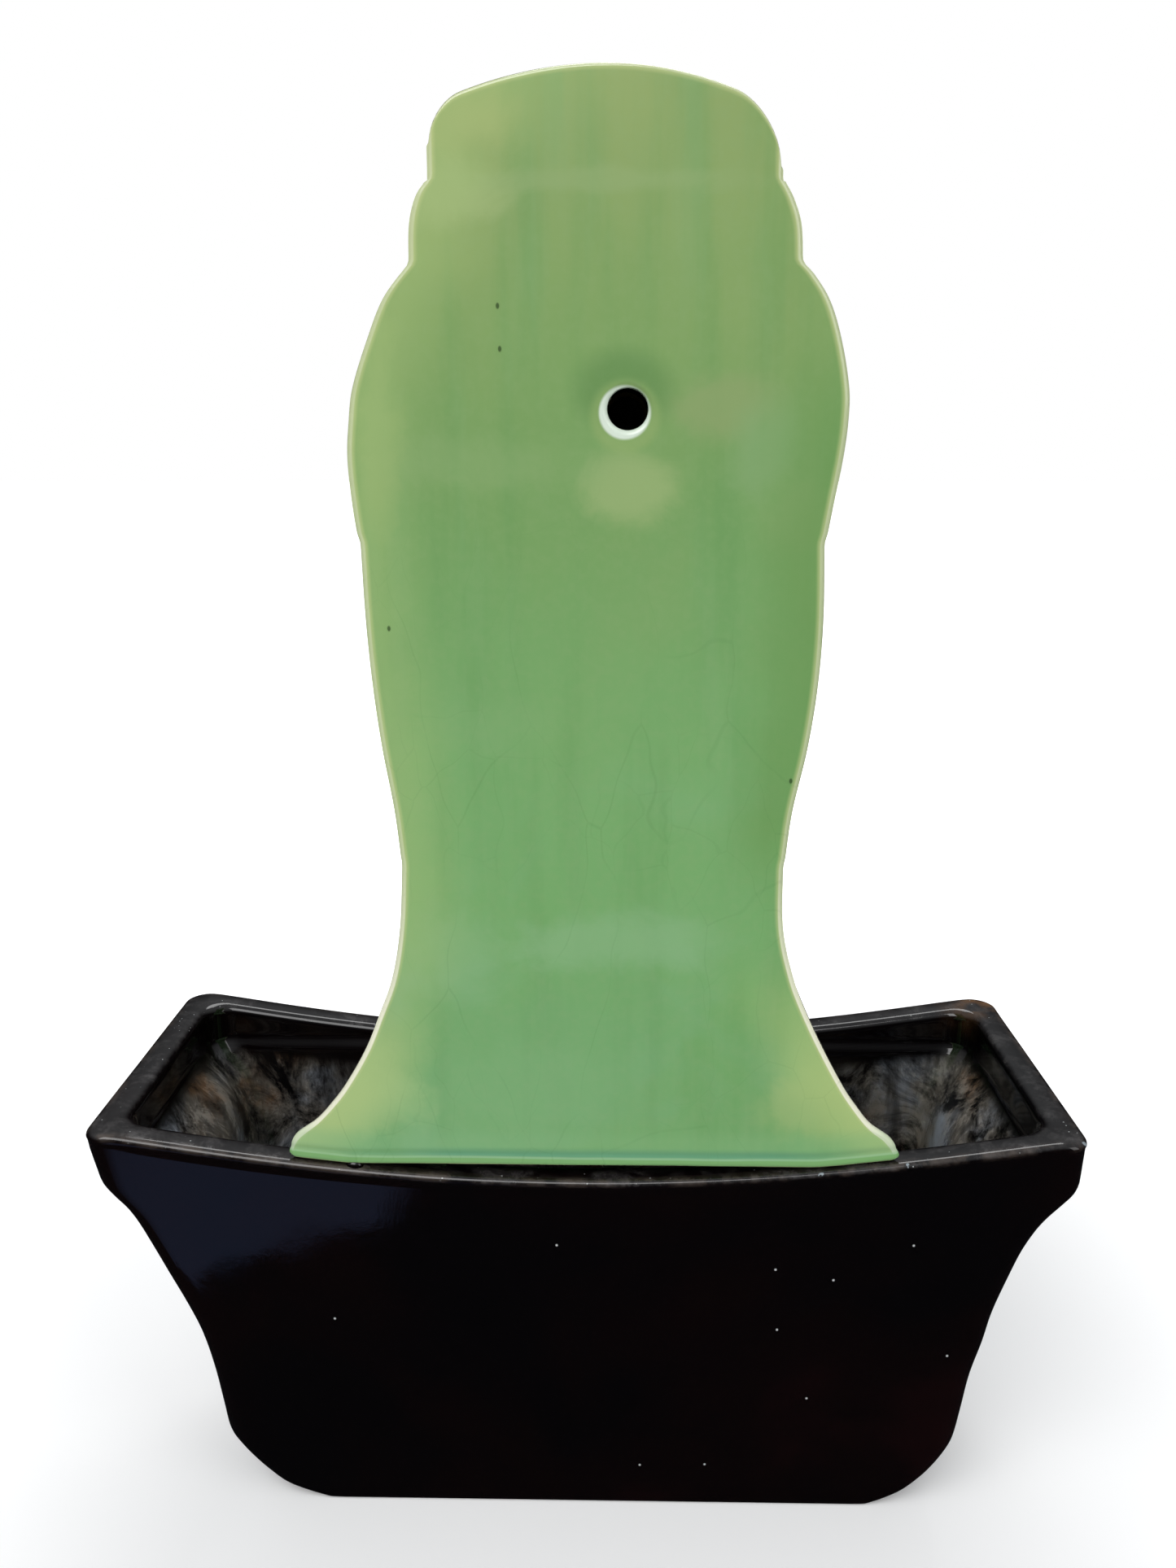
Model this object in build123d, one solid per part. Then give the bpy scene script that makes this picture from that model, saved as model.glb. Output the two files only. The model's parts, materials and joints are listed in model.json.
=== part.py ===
from build123d import *
import os

# A two-piece ceramic tabletop fountain, in millimetres.
# The origin is the centre of the basin's footprint, on the table, and +Z is up.
# -Y is the flat rear of the upright, +Y is its relief and spout side, and +X is
# on the right of somebody who looks at the flat rear.

# ---- basin: a slip-cast oblong bowl with a sagging rim ----
RIM_HALF_X = 153.0
RIM_HALF_Y = 53.0
RIM_HEIGHT = 148.0          # at the four corners
RIM_SAG = 13.8              # the long rims dip this much at mid-length
RIM_LEVEL_FROM_X = 143.0    # the short rims are level, and the sag starts here
RIM_EASE_RADIUS = 90.0
RIM_WIDTH = 10.5
RIM_CORNER = 11.0
BASIN_WALL = 6.5
BASE_HALF_X = 99.0
BASE_HALF_Y = 36.5
BASE_CORNER = 8.0
FLOOR_Z = 9.0
FOOT_RECESS = 2.5
FOOT_RING = 11.0
RECESS_CORNER = 5.0
RIM_ROUNDING = 3.0

# end walls from the foot's top to the lip: height and half length
END_WALL = [(22, 120.2), (40, 121.8), (70, 127.2), (100, 133.8), (113, 136.8), (119, 140.2),
            (124, 145.6), (129, 150)]
# inside of the end walls, from the floor to the rim's opening
INNER_END_WALL = [(9, 95), (27, 113.5), (70, 120.5), (110, 128.5), (119, 133), (127, 139.5),
                  (134, 142.5), (153, 142.5)]

# ---- upright: a hollow slip-cast half urn with a flat back ----
REAR_Y = -51.0
PLATE = 7.0                 # straight edge of the back plate before the relief curves away
UPRIGHT_WALL = 6.5
UPRIGHT_BASE_Z = 138.3
UPRIGHT_TOP_Z = 438.0
UPRIGHT_MID_X = 5.7
REST_GAP = 0.3
PORT_X = 11.8
PORT_Z = 358.0
PORT_RADIUS = 5.3
PORT_BEVEL = 1.6

# tiers of the upright: height, left edge, right edge, front of the relief
SKIRT = [(134, -91, 98, 14), (146, -87.4, 92.8, 14), (158, -75, 81.4, 12), (176, -63.8, 70.8, 8),
         (199, -54.8, 60.6, 3), (235, -50.4, 56.0, 0)]
LOWER_BODY = [(235, -51.4, 57.0, 2), (268, -54.9, 61.6, 8), (303, -57.8, 64.3, 11), (325, -58.4, 63.4, 9)]
UPPER_BODY = [(325, -59.2, 64.2, 12), (346, -60.8, 67.2, 16), (362, -58.6, 67.9, 16), (379, -52.4, 64.0, 11),
              (392, -43.6, 56.0, 2)]
COLLAR = [(392, -42.8, 54.6, 2), (402, -42.5, 53.8, 4), (411.5, -38.4, 49.3, 0)]
CAP = [(411.5, -37.6, 49.1, -2), (424, -37.6, 48.9, -2), (438, -37.4, 48.9, -14)]
CAP_SHOULDER_Z = 429.0
CAP_CORNER = 8.0

# hollow inside the upright: its lower opening, and how it closes under the cap
HOLLOW_FOOT = (120, -91, 98, 14)
HOLLOW_NECK_Z = 396.0
HOLLOW_CAP_Z = 420.0
HOLLOW_TOP_Z = 430.0
HOLLOW_TOP_FRONT = -10.0

# legs inside the skirt, that stand on the basin's floor
LEG_INNER = 45.0            # from the upright's middle to the leg's inner face
LEG_THICKNESS = 8.0
LEG_REAR_TOP_Y = -39.0
LEG_REAR_FOOT_Y = -26.0
LEG_FRONT_TOP_Y = 1.0
LEG_FRONT_FOOT_Y = 8.0
LEG_ROOT_Z = 152.0
LEG_OVERLAP = 1.5           # the leg's root runs this far into the back plate

# ---- water path ----
RISER_Y = -17.0
TUBE_OUTER = 6.5
TUBE_INNER = 5.0
RISER_BOTTOM_Z = 47.0
RISER_TOP_Z = 348.0
ELBOW_BOTTOM_Z = 336.0
ELBOW_BEND = 9.0
ELBOW_BORE = 3.6
ELBOW_FRONT_Y = 6.0
SPOUT_BORE = 4.0
SPOUT_OUTER = 6.5
SPOUT_ROOT_Y = -3.0
SPOUT_BEND_Y = 28.0
SPOUT_TIP_Y = 34.0
SPOUT_DROP = 13.0
SPOUT_BEND = 11.0
ESCUTCHEON_RADIUS = 10.0
ESCUTCHEON_THICKNESS = 2.0
GROMMET_OUTER = 8.5
GROMMET_INNER_Y = 8.0
GROMMET_FACE_Y = 16.8
GROMMET_FLANGE = 11.0
GROMMET_FLANGE_THICKNESS = 2.0

# ---- pump, with its shaft along X ----
PUMP_Y = -10.0
PUMP_Z = 30.0
PUMP_HALF_Y = 18.0
PUMP_HALF_Z = 15.0
PUMP_REAR_X = -33.0
PUMP_FRONT_X = 6.5
PUMP_WALL = 2.0
PUMP_CORNER = 3.0
WELL_BORE = 6.3
WELL_OUTER = 7.5
WELL_END_X = -9.5
WELL_END_WALL = 1.5
VOLUTE_FRONT_X = 17.5
VOLUTE_OUTER = 15.0
VOLUTE_CHAMBER = 11.0
VOLUTE_FACE = 2.5
INTAKE_RADIUS = 6.5
SEAL_RADIUS = 12.8
SEAL_SECTION = 0.75
SEAL_GROOVE_HALF = 0.8
BUSH_HUB_RADIUS = 4.2
BUSH_HUB_REACH = 1.4
SPOKE_WIDTH = 1.6
SPOKE_LENGTH = 3.5
SPOKE_MIDDLE = 5.5
NIPPLE_OUTER = 4.95
NIPPLE_BORE = 3.4
NIPPLE_TOP_Z = 58.0
SHAFT_RADIUS = 1.15
SHAFT_END_X = 15.8
SHAFT_RUNNING_GAP = 0.05
REAR_BUSH_RADIUS = 3.0
REAR_BUSH_FRONT_X = -7.6
FRONT_BUSH_RADIUS = 2.8
FRONT_BUSH_BACK_X = 13.7
WASHER_RADIUS = 2.3
WASHER_X = (13.15, 13.6)
SLEEVE_RADIUS = 2.5
SLEEVE_X = (-7.0, 13.0)
MAGNET_RADIUS = 5.7
MAGNET_X = (-6.5, 5.0)
IMPELLER_RADIUS = 9.5
IMPELLER_DISC_X = (7.6, 8.8)
VANE_X = 10.6
VANE_MIDDLE = 5.8
VANE_SIZE = (3.8, 1.2, 7.2)

# ---- stator: a C-shaped core with a coil on each leg ----
CORE_STACK = 6.0            # half height of the laminations
CORE_X = (-30.0, 3.5)
CORE_GAP_X = (-25.0, 4.0)
LEG_NEAR = 7.7              # from the shaft's axis to a core leg
LEG_FAR = 12.2
COIL_X = (-23.5, -12.0)
BOBBIN_GAP = 0.1
BOBBIN_SKIN = 0.8
BOBBIN_FLANGE = 1.0
COIL_DEPTH = 2.4

# ---- strainer, dial, feet and cord gland ----
STRAINER_FRONT_X = 26.0
STRAINER_WALL = 1.8
STRAINER_SLOTS = (10.0, 13.5)
STRAINER_SLOT_WIDTH = 2.0
STRAINER_SLOT_LENGTH = 20.0
CLIP_WIDTH = 8.0
DIAL_HOLE_RADIUS = 2.2      # two intake holes that the dial covers or leaves open
DIAL_HOLE_OFFSET = 4.5
DIAL_PIVOT_BORE = 1.55
DIAL_PIVOT_RADIUS = 1.5
DIAL_RADIUS = 7.4
DIAL_THICKNESS = 2.2
DIAL_GAP = 0.2
DIAL_GRIP = (13.0, 1.6)
FOAM_X = (18.4, 23.0)
FOAM_CLEARANCE = 2.2        # between the foam's edge and the pump's outside
CUP_HEIGHT = 6.0
CUP_LIP_RADIUS = 5.0
CUP_TOP_RADIUS = 2.4
CUP_SKIRT_HEIGHT = 2.4
CUP_NECK_RADIUS = 1.8
CUP_X = (-27, 0)
CUP_Y = (-20, 0)
GLAND_RADIUS = 3.6
GLAND_HEIGHT = 7.0
GLAND_X = -24.0
GLAND_Y = -2.0

parts = {}


def block(x, y, z):
    """A box from its three (low, high) spans."""
    middle = Pos((x[0] + x[1]) / 2, (y[0] + y[1]) / 2, (z[0] + z[1]) / 2)
    return middle * Box(x[1] - x[0], y[1] - y[0], z[1] - z[0])


def bar_x(radius, low, high, y=PUMP_Y, z=PUMP_Z):
    """A round bar along X."""
    return Pos((low + high) / 2, y, z) * Rot(0, 90, 0) * Cylinder(radius, high - low)


def bar_y(radius, low, high, x=PORT_X, z=PORT_Z):
    """A round bar along Y."""
    return Pos(x, (low + high) / 2, z) * Rot(90, 0, 0) * Cylinder(radius, high - low)


def bar_z(radius, low, high, x=PORT_X, y=RISER_Y):
    """A round bar along Z."""
    return Pos(x, y, (low + high) / 2) * Cylinder(radius, high - low)


def outer_half_y(z):
    """Half depth of the basin: its long faces are flat and lean out."""
    return BASE_HALF_Y + (RIM_HALF_Y - BASE_HALF_Y) * z / RIM_HEIGHT


def inner_half_y(z):
    """Half depth of the basin's hollow, no wider than the rim's opening."""
    return min(RIM_HALF_Y - RIM_WIDTH, outer_half_y(z) - BASIN_WALL)


def plan(z, half_x, half_y, corner):
    """A rounded oblong at height z."""
    return Plane.XY.offset(z) * RectangleRounded(2 * half_x, 2 * half_y, corner)


def above_rim(lift):
    """Everything over the sagging rim line, raised by lift."""
    far = RIM_HALF_X + 20
    top = UPRIGHT_TOP_Z + 60
    ends = RIM_HEIGHT + lift
    left = Line((-far, ends), (-RIM_LEVEL_FROM_X, ends))
    dip = ThreePointArc(left @ 1, (0, ends - RIM_SAG), (RIM_LEVEL_FROM_X, ends))
    right = Line(dip @ 1, (far, ends))
    frame = Polyline((far, ends), (far, top), (-far, top), (-far, ends))
    face = make_face([left, dip, right, frame])
    kinks = [v for v in face.vertices() if abs(abs(v.X) - RIM_LEVEL_FROM_X) < 1]
    face = fillet(kinks, RIM_EASE_RADIUS)
    return extrude(Plane.XZ * face, RIM_HALF_Y + 20, both=True)


def eased(rows, steps):
    """Rows of numbers, the first of them a height, with smooth in-between rows added."""
    slopes = []
    for i, row in enumerate(rows):
        before = rows[max(i - 1, 0)]
        after = rows[min(i + 1, len(rows) - 1)]
        slopes.append([(b - a) / (after[0] - before[0]) for a, b in zip(before, after)])
    result = []
    for low, high, slope_low, slope_high in zip(rows, rows[1:], slopes, slopes[1:]):
        rise = high[0] - low[0]
        for step in range(steps):
            t = step / steps
            blend = t * t * (3 - 2 * t)
            leave = rise * t * (1 - t) ** 2
            arrive = rise * t * t * (t - 1)
            values = zip(low, high, slope_low, slope_high)
            row = [a + (b - a) * blend + p * leave + q * arrive for a, b, p, q in values]
            result.append(row)
    return result + [list(rows[-1])]


def make_basin():
    walls = [plan(z, half_x, outer_half_y(z), BASE_CORNER) for z, half_x in eased(END_WALL, 3)]
    body = loft([plan(0, BASE_HALF_X, outer_half_y(0), BASE_CORNER)] + walls
                + [plan(RIM_HEIGHT, RIM_HALF_X, RIM_HALF_Y, RIM_CORNER)], ruled=True)
    hollow = loft([plan(z, half_x, inner_half_y(z), BASE_CORNER) for z, half_x in INNER_END_WALL], ruled=True)
    recess = extrude(plan(0, BASE_HALF_X - FOOT_RING, BASE_HALF_Y - FOOT_RING, RECESS_CORNER), FOOT_RECESS)
    basin = body - above_rim(0) - hollow - recess
    rim = [f for f in basin.faces() if f.center().Z > RIM_HEIGHT - RIM_SAG - 1 and f.normal_at().Z > 0.9]
    edges = [e for f in rim for e in f.edges()]
    border = [e for e in edges if sum(e.is_same(other) for other in edges) == 1]
    return fillet(border, RIM_ROUNDING)


def tier_plan(z, left, right, front, inset):
    """A flat back, two short straight sides and a half-elliptical front, at height z."""
    back = REAR_Y + inset
    side = REAR_Y + PLATE
    left = left + inset
    right = right - inset
    edge = Polyline((left, side), (left, back), (right, back), (right, side))
    bow = EllipticalCenterArc(((left + right) / 2, side), (right - left) / 2, front - inset - side,
                              start_angle=0, arc_size=180)
    return Plane.XY.offset(z) * make_face([edge, bow])


def tier(rows, inset=0.0, steps=3):
    """A solid through the sections in rows, with steps spans between each two of them."""
    return loft([tier_plan(*row, inset) for row in eased(rows, steps)], ruled=True)


def cap_envelope():
    """A low arch with rounded shoulders that closes the top."""
    left = -RIM_HALF_X
    right = RIM_HALF_X
    shoulder_left = (CAP[1][1], CAP_SHOULDER_Z)
    shoulder_right = (CAP[1][2], CAP_SHOULDER_Z)
    arch = ThreePointArc(shoulder_left, (UPRIGHT_MID_X, UPRIGHT_TOP_Z), shoulder_right)
    cap_foot = CAP[0][0]
    sides = Polyline(shoulder_right, (shoulder_right[0], cap_foot), (right, cap_foot), (right, 0),
                     (left, 0), (left, cap_foot), (shoulder_left[0], cap_foot), shoulder_left)
    face = make_face([arch, sides])
    corners = [v for v in face.vertices() if abs(v.Y - CAP_SHOULDER_Z) < 0.01]
    face = fillet(corners, CAP_CORNER)
    return extrude(Plane.XZ * face, 120, both=True)


def make_leg(x_low):
    """A flat leg from the skirt's inside down to the basin's floor."""
    foot_z = FLOOR_Z + REST_GAP
    hip_z = UPRIGHT_BASE_Z + 0.7
    root_y = REAR_Y + UPRIGHT_WALL - LEG_OVERLAP
    profile = make_face(Polyline(
        (root_y, LEG_ROOT_Z), (root_y, hip_z + 1),
        (LEG_REAR_TOP_Y, hip_z), (LEG_REAR_FOOT_Y, foot_z), (LEG_FRONT_FOOT_Y, foot_z),
        (LEG_FRONT_TOP_Y, hip_z), (LEG_FRONT_TOP_Y, LEG_ROOT_Z), close=True))
    return Pos(x_low, 0, 0) * extrude(Plane.YZ * profile, LEG_THICKNESS)


def make_upright():
    outer = tier(SKIRT) + tier(LOWER_BODY) + tier(UPPER_BODY) + tier(COLLAR) + tier(CAP)
    outer = outer & cap_envelope()
    hollow_rows = [HOLLOW_FOOT] + SKIRT[1:] + LOWER_BODY[1:3] + UPPER_BODY[:4]
    hollow_rows = hollow_rows + [(HOLLOW_NECK_Z, *COLLAR[0][1:]), (HOLLOW_CAP_Z, *CAP[0][1:]),
                                 (HOLLOW_TOP_Z, *CAP[0][1:3], HOLLOW_TOP_FRONT)]
    hollow = tier(hollow_rows, UPRIGHT_WALL, steps=1)
    shell = outer - hollow
    shell = shell & above_rim(REST_GAP)
    shell = shell & block((-200, 200), (-100, 100), (UPRIGHT_BASE_Z, UPRIGHT_TOP_Z + 1))
    middle = (SKIRT[1][1] + SKIRT[1][2]) / 2
    legs = make_leg(middle - LEG_INNER - LEG_THICKNESS) + make_leg(middle + LEG_INNER)
    port = bar_y(PORT_RADIUS, REAR_Y - 1, REAR_Y + UPRIGHT_WALL + 2)
    bevel_at = Pos(PORT_X, REAR_Y + PORT_BEVEL / 2, PORT_Z) * Rot(90, 0, 0)
    bevel = bevel_at * Cone(PORT_RADIUS, PORT_RADIUS + PORT_BEVEL, PORT_BEVEL)
    spout_hole = bar_y(GROMMET_OUTER, 0, GROMMET_FACE_Y + 5)
    return shell + legs - port - bevel - spout_hole


def make_tube(path, outer, inner):
    """A round tube along a path, as one sweep less another."""
    start = Plane(origin=path @ 0, z_dir=path % 0)
    return sweep(start * Circle(outer), path) - sweep(start * Circle(inner), path)


def make_elbow():
    path = FilletPolyline((PORT_X, RISER_Y, ELBOW_BOTTOM_Z), (PORT_X, RISER_Y, PORT_Z),
                          (PORT_X, ELBOW_FRONT_Y, PORT_Z), radius=ELBOW_BEND)
    return make_tube(path, TUBE_INNER, ELBOW_BORE)


def make_spout():
    path = FilletPolyline((PORT_X, SPOUT_ROOT_Y, PORT_Z), (PORT_X, SPOUT_BEND_Y, PORT_Z),
                          (PORT_X, SPOUT_TIP_Y, PORT_Z - SPOUT_DROP), radius=SPOUT_BEND)
    pipe = make_tube(path, SPOUT_OUTER, SPOUT_BORE)
    back = GROMMET_FACE_Y + GROMMET_FLANGE_THICKNESS
    front = back + ESCUTCHEON_THICKNESS
    escutcheon = bar_y(ESCUTCHEON_RADIUS, back, front) - bar_y(SPOUT_OUTER, back - 1, front + 1)
    socket = bar_y(TUBE_INNER, SPOUT_ROOT_Y - 1, ELBOW_FRONT_Y)
    return pipe + escutcheon - socket


def make_grommet():
    sleeve = bar_y(GROMMET_OUTER, GROMMET_INNER_Y, GROMMET_FACE_Y)
    flange = bar_y(GROMMET_FLANGE, GROMMET_FACE_Y, GROMMET_FACE_Y + GROMMET_FLANGE_THICKNESS)
    return sleeve + flange - bar_y(SPOUT_OUTER, 0, GROMMET_FACE_Y + 5)


def make_housing():
    """The pump's case, the room inside it and the rotor's well."""
    y = (PUMP_Y - PUMP_HALF_Y, PUMP_Y + PUMP_HALF_Y)
    z = (PUMP_Z - PUMP_HALF_Z, PUMP_Z + PUMP_HALF_Z)
    shell = block((PUMP_REAR_X, PUMP_FRONT_X), y, z)
    shell = fillet(shell.edges().filter_by(Axis.X), PUMP_CORNER)
    inside = block(
        (PUMP_REAR_X, PUMP_FRONT_X - PUMP_WALL),
        (y[0] + PUMP_WALL, y[1] - PUMP_WALL),
        (z[0] + PUMP_WALL, z[1] - PUMP_WALL),
    )
    well = bar_x(WELL_OUTER, WELL_END_X - WELL_END_WALL, PUMP_FRONT_X)
    bore = bar_x(WELL_BORE, WELL_END_X, PUMP_FRONT_X)
    return shell - inside + well - bore, inside, well


def make_core():
    z = (PUMP_Z - CORE_STACK, PUMP_Z + CORE_STACK)
    whole = block(CORE_X, (PUMP_Y - LEG_FAR, PUMP_Y + LEG_FAR), z)
    return whole - block(CORE_GAP_X, (PUMP_Y - LEG_NEAR, PUMP_Y + LEG_NEAR), z)


def around_leg(side, x, grow):
    """A block around one core leg, larger than the leg by grow."""
    middle = PUMP_Y + side * (LEG_NEAR + LEG_FAR) / 2
    half = (LEG_FAR - LEG_NEAR) / 2 + grow
    tall = CORE_STACK + grow
    return block(x, (middle - half, middle + half), (PUMP_Z - tall, PUMP_Z + tall))


def make_bobbin(side):
    skin = BOBBIN_GAP + BOBBIN_SKIN
    rim = skin + COIL_DEPTH
    tube = around_leg(side, COIL_X, skin)
    rear = around_leg(side, (COIL_X[0], COIL_X[0] + BOBBIN_FLANGE), rim)
    front = around_leg(side, (COIL_X[1] - BOBBIN_FLANGE, COIL_X[1]), rim)
    return tube + rear + front - around_leg(side, COIL_X, BOBBIN_GAP)


def make_coil(side):
    x = (COIL_X[0] + BOBBIN_FLANGE, COIL_X[1] - BOBBIN_FLANGE)
    skin = BOBBIN_GAP + BOBBIN_SKIN
    return around_leg(side, x, skin + COIL_DEPTH) - around_leg(side, x, skin)


def make_volute():
    face_back = VOLUTE_FRONT_X - VOLUTE_FACE
    outlet_root_z = PUMP_Z + 4
    body = bar_x(VOLUTE_OUTER, PUMP_FRONT_X, VOLUTE_FRONT_X)
    body = body + bar_z(NIPPLE_OUTER, PUMP_Z + 8, NIPPLE_TOP_Z)
    body = body - bar_x(VOLUTE_CHAMBER, PUMP_FRONT_X, face_back)
    body = body - bar_z(NIPPLE_BORE, outlet_root_z, NIPPLE_TOP_Z)
    body = body - bar_x(INTAKE_RADIUS, face_back, VOLUTE_FRONT_X)
    groove_end = PUMP_FRONT_X + 2 * SEAL_GROOVE_HALF
    groove = bar_x(SEAL_RADIUS + SEAL_GROOVE_HALF, PUMP_FRONT_X, groove_end)
    groove = groove - bar_x(SEAL_RADIUS - SEAL_GROOVE_HALF, PUMP_FRONT_X, groove_end)
    hub = bar_x(BUSH_HUB_RADIUS, face_back - BUSH_HUB_REACH, VOLUTE_FRONT_X)
    turn = Pos(0, PUMP_Y, PUMP_Z)
    for angle in (90, 210, 330):
        spoke = Box(VOLUTE_FACE, SPOKE_WIDTH, SPOKE_LENGTH)
        spoke = Pos((face_back + VOLUTE_FRONT_X) / 2, 0, SPOKE_MIDDLE) * spoke
        hub = hub + turn * Rot(angle, 0, 0) * spoke
    return body - groove + hub - bar_x(FRONT_BUSH_RADIUS, face_back - 2, VOLUTE_FRONT_X + 1)


def make_impeller():
    sleeve = bar_x(SLEEVE_RADIUS, *SLEEVE_X)
    disc = bar_x(IMPELLER_RADIUS, *IMPELLER_DISC_X)
    rotor = sleeve + disc
    turn = Pos(0, PUMP_Y, PUMP_Z)
    for angle in range(0, 360, 60):
        vane = Pos(VANE_X, 0, VANE_MIDDLE) * Box(*VANE_SIZE)
        rotor = rotor + turn * Rot(angle, 0, 0) * vane
    return rotor - bar_x(SHAFT_RADIUS + SHAFT_RUNNING_GAP, SLEEVE_X[0] - 1, SLEEVE_X[1] + 1)


def make_strainer():
    y = (PUMP_Y - PUMP_HALF_Y, PUMP_Y + PUMP_HALF_Y)
    z = (PUMP_Z - PUMP_HALF_Z, PUMP_Z + PUMP_HALF_Z)
    back = VOLUTE_FRONT_X + REST_GAP
    cover = block((back, STRAINER_FRONT_X), y, z)
    cover = fillet(cover.edges().filter_by(Axis.X), PUMP_CORNER)
    wall = STRAINER_WALL
    cover = cover - block(
        (back, STRAINER_FRONT_X - wall), (y[0] + wall, y[1] - wall), (z[0] + wall, z[1] - wall))
    half_width = STRAINER_SLOT_WIDTH / 2
    half_length = STRAINER_SLOT_LENGTH / 2
    for step in STRAINER_SLOTS:
        for side in (-1, 1):
            slot_y = PUMP_Y + side * step
            cover = cover - block((back, STRAINER_FRONT_X + 1), (slot_y - half_width, slot_y + half_width),
                                  (PUMP_Z - half_length, PUMP_Z + half_length))
    for side in (-1, 1):
        hole_z = PUMP_Z + side * DIAL_HOLE_OFFSET
        cover = cover - bar_x(DIAL_HOLE_RADIUS, back, STRAINER_FRONT_X + 1, PUMP_Y, hole_z)
    for side in (-1, 1):
        outside = PUMP_Y + side * PUMP_HALF_Y
        clip_y = sorted((outside, outside - side * wall))
        clip_z = (PUMP_Z - CLIP_WIDTH / 2, PUMP_Z + CLIP_WIDTH / 2)
        cover = cover + block((PUMP_FRONT_X + 1, back + 1), clip_y, clip_z)
    return cover - bar_x(DIAL_PIVOT_BORE, back, STRAINER_FRONT_X + 1)


def make_dial():
    back = STRAINER_FRONT_X + DIAL_GAP
    front = back + DIAL_THICKNESS
    disc = bar_x(DIAL_RADIUS, back, front) + bar_x(DIAL_PIVOT_RADIUS, back - 3, back)
    for side in (-1, 1):
        hole_z = PUMP_Z + side * DIAL_HOLE_OFFSET
        disc = disc - bar_x(DIAL_HOLE_RADIUS, back - 1, front + 1, PUMP_Y, hole_z)
    half_y = DIAL_GRIP[0] / 2
    half_z = DIAL_GRIP[1] / 2
    grip = block((front, front + DIAL_THICKNESS), (PUMP_Y - half_y, PUMP_Y + half_y),
                 (PUMP_Z - half_z, PUMP_Z + half_z))
    return disc + grip


def make_cup(x, y):
    skirt = Cone(CUP_LIP_RADIUS, CUP_TOP_RADIUS, CUP_SKIRT_HEIGHT)
    skirt = Pos(x, y, FLOOR_Z + CUP_SKIRT_HEIGHT / 2) * skirt
    neck = bar_z(CUP_NECK_RADIUS, FLOOR_Z + CUP_SKIRT_HEIGHT, FLOOR_Z + CUP_HEIGHT, x, y)
    return skirt + neck


parts["basin"] = make_basin()
parts["upright"] = make_upright()
parts["riser_tube"] = (
    bar_z(TUBE_OUTER, RISER_BOTTOM_Z, RISER_TOP_Z) - bar_z(TUBE_INNER, RISER_BOTTOM_Z, RISER_TOP_Z))
parts["spout_elbow"] = make_elbow()
parts["spout"] = make_spout()
parts["spout_grommet"] = make_grommet()

housing, housing_inside, well = make_housing()
coils = [make_coil(-1), make_coil(1)]
bobbins = [make_bobbin(-1), make_bobbin(1)]
core = make_core()
potting = housing_inside - well - core
for side in (-1, 1):
    wound = BOBBIN_GAP + BOBBIN_SKIN + COIL_DEPTH
    potting = potting - around_leg(side, COIL_X, wound)
parts["pump_housing"] = housing
parts["stator_core"] = core
parts["coil_bobbins"] = Compound(children=bobbins)
parts["stator_coils"] = Compound(children=coils)
parts["pump_potting"] = potting
parts["volute_cover"] = make_volute()
seal_x = PUMP_FRONT_X + SEAL_GROOVE_HALF
parts["volute_seal"] = Pos(seal_x, PUMP_Y, PUMP_Z) * Rot(0, 90, 0) * Torus(SEAL_RADIUS, SEAL_SECTION)
parts["pump_shaft"] = bar_x(SHAFT_RADIUS, WELL_END_X, SHAFT_END_X)
parts["rear_bush"] = (
    bar_x(REAR_BUSH_RADIUS, WELL_END_X, REAR_BUSH_FRONT_X)
    - bar_x(SHAFT_RADIUS, WELL_END_X, REAR_BUSH_FRONT_X))
parts["front_bush"] = (
    bar_x(FRONT_BUSH_RADIUS, FRONT_BUSH_BACK_X, SHAFT_END_X)
    - bar_x(SHAFT_RADIUS, FRONT_BUSH_BACK_X, SHAFT_END_X))
parts["thrust_washer"] = bar_x(WASHER_RADIUS, *WASHER_X) - bar_x(SHAFT_RADIUS, *WASHER_X)
parts["impeller"] = make_impeller()
parts["rotor_magnet"] = bar_x(MAGNET_RADIUS, *MAGNET_X) - bar_x(SLEEVE_RADIUS, *MAGNET_X)
parts["strainer_cover"] = make_strainer()
parts["flow_dial"] = make_dial()
foam_half_y = PUMP_HALF_Y - FOAM_CLEARANCE
foam_half_z = PUMP_HALF_Z - FOAM_CLEARANCE
parts["filter_foam"] = block(FOAM_X, (PUMP_Y - foam_half_y, PUMP_Y + foam_half_y),
                             (PUMP_Z - foam_half_z, PUMP_Z + foam_half_z))
parts["suction_cups"] = Compound(children=[make_cup(x, y) for x in CUP_X for y in CUP_Y])
gland_z = PUMP_Z + PUMP_HALF_Z
parts["cord_gland"] = bar_z(GLAND_RADIUS, gland_z, gland_z + GLAND_HEIGHT, GLAND_X, GLAND_Y)

for name, solid in parts.items():
    export_step(solid, f"parts/{name}.step")
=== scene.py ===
import json
import math
import bmesh
import bpy
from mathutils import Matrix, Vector, noise


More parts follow.
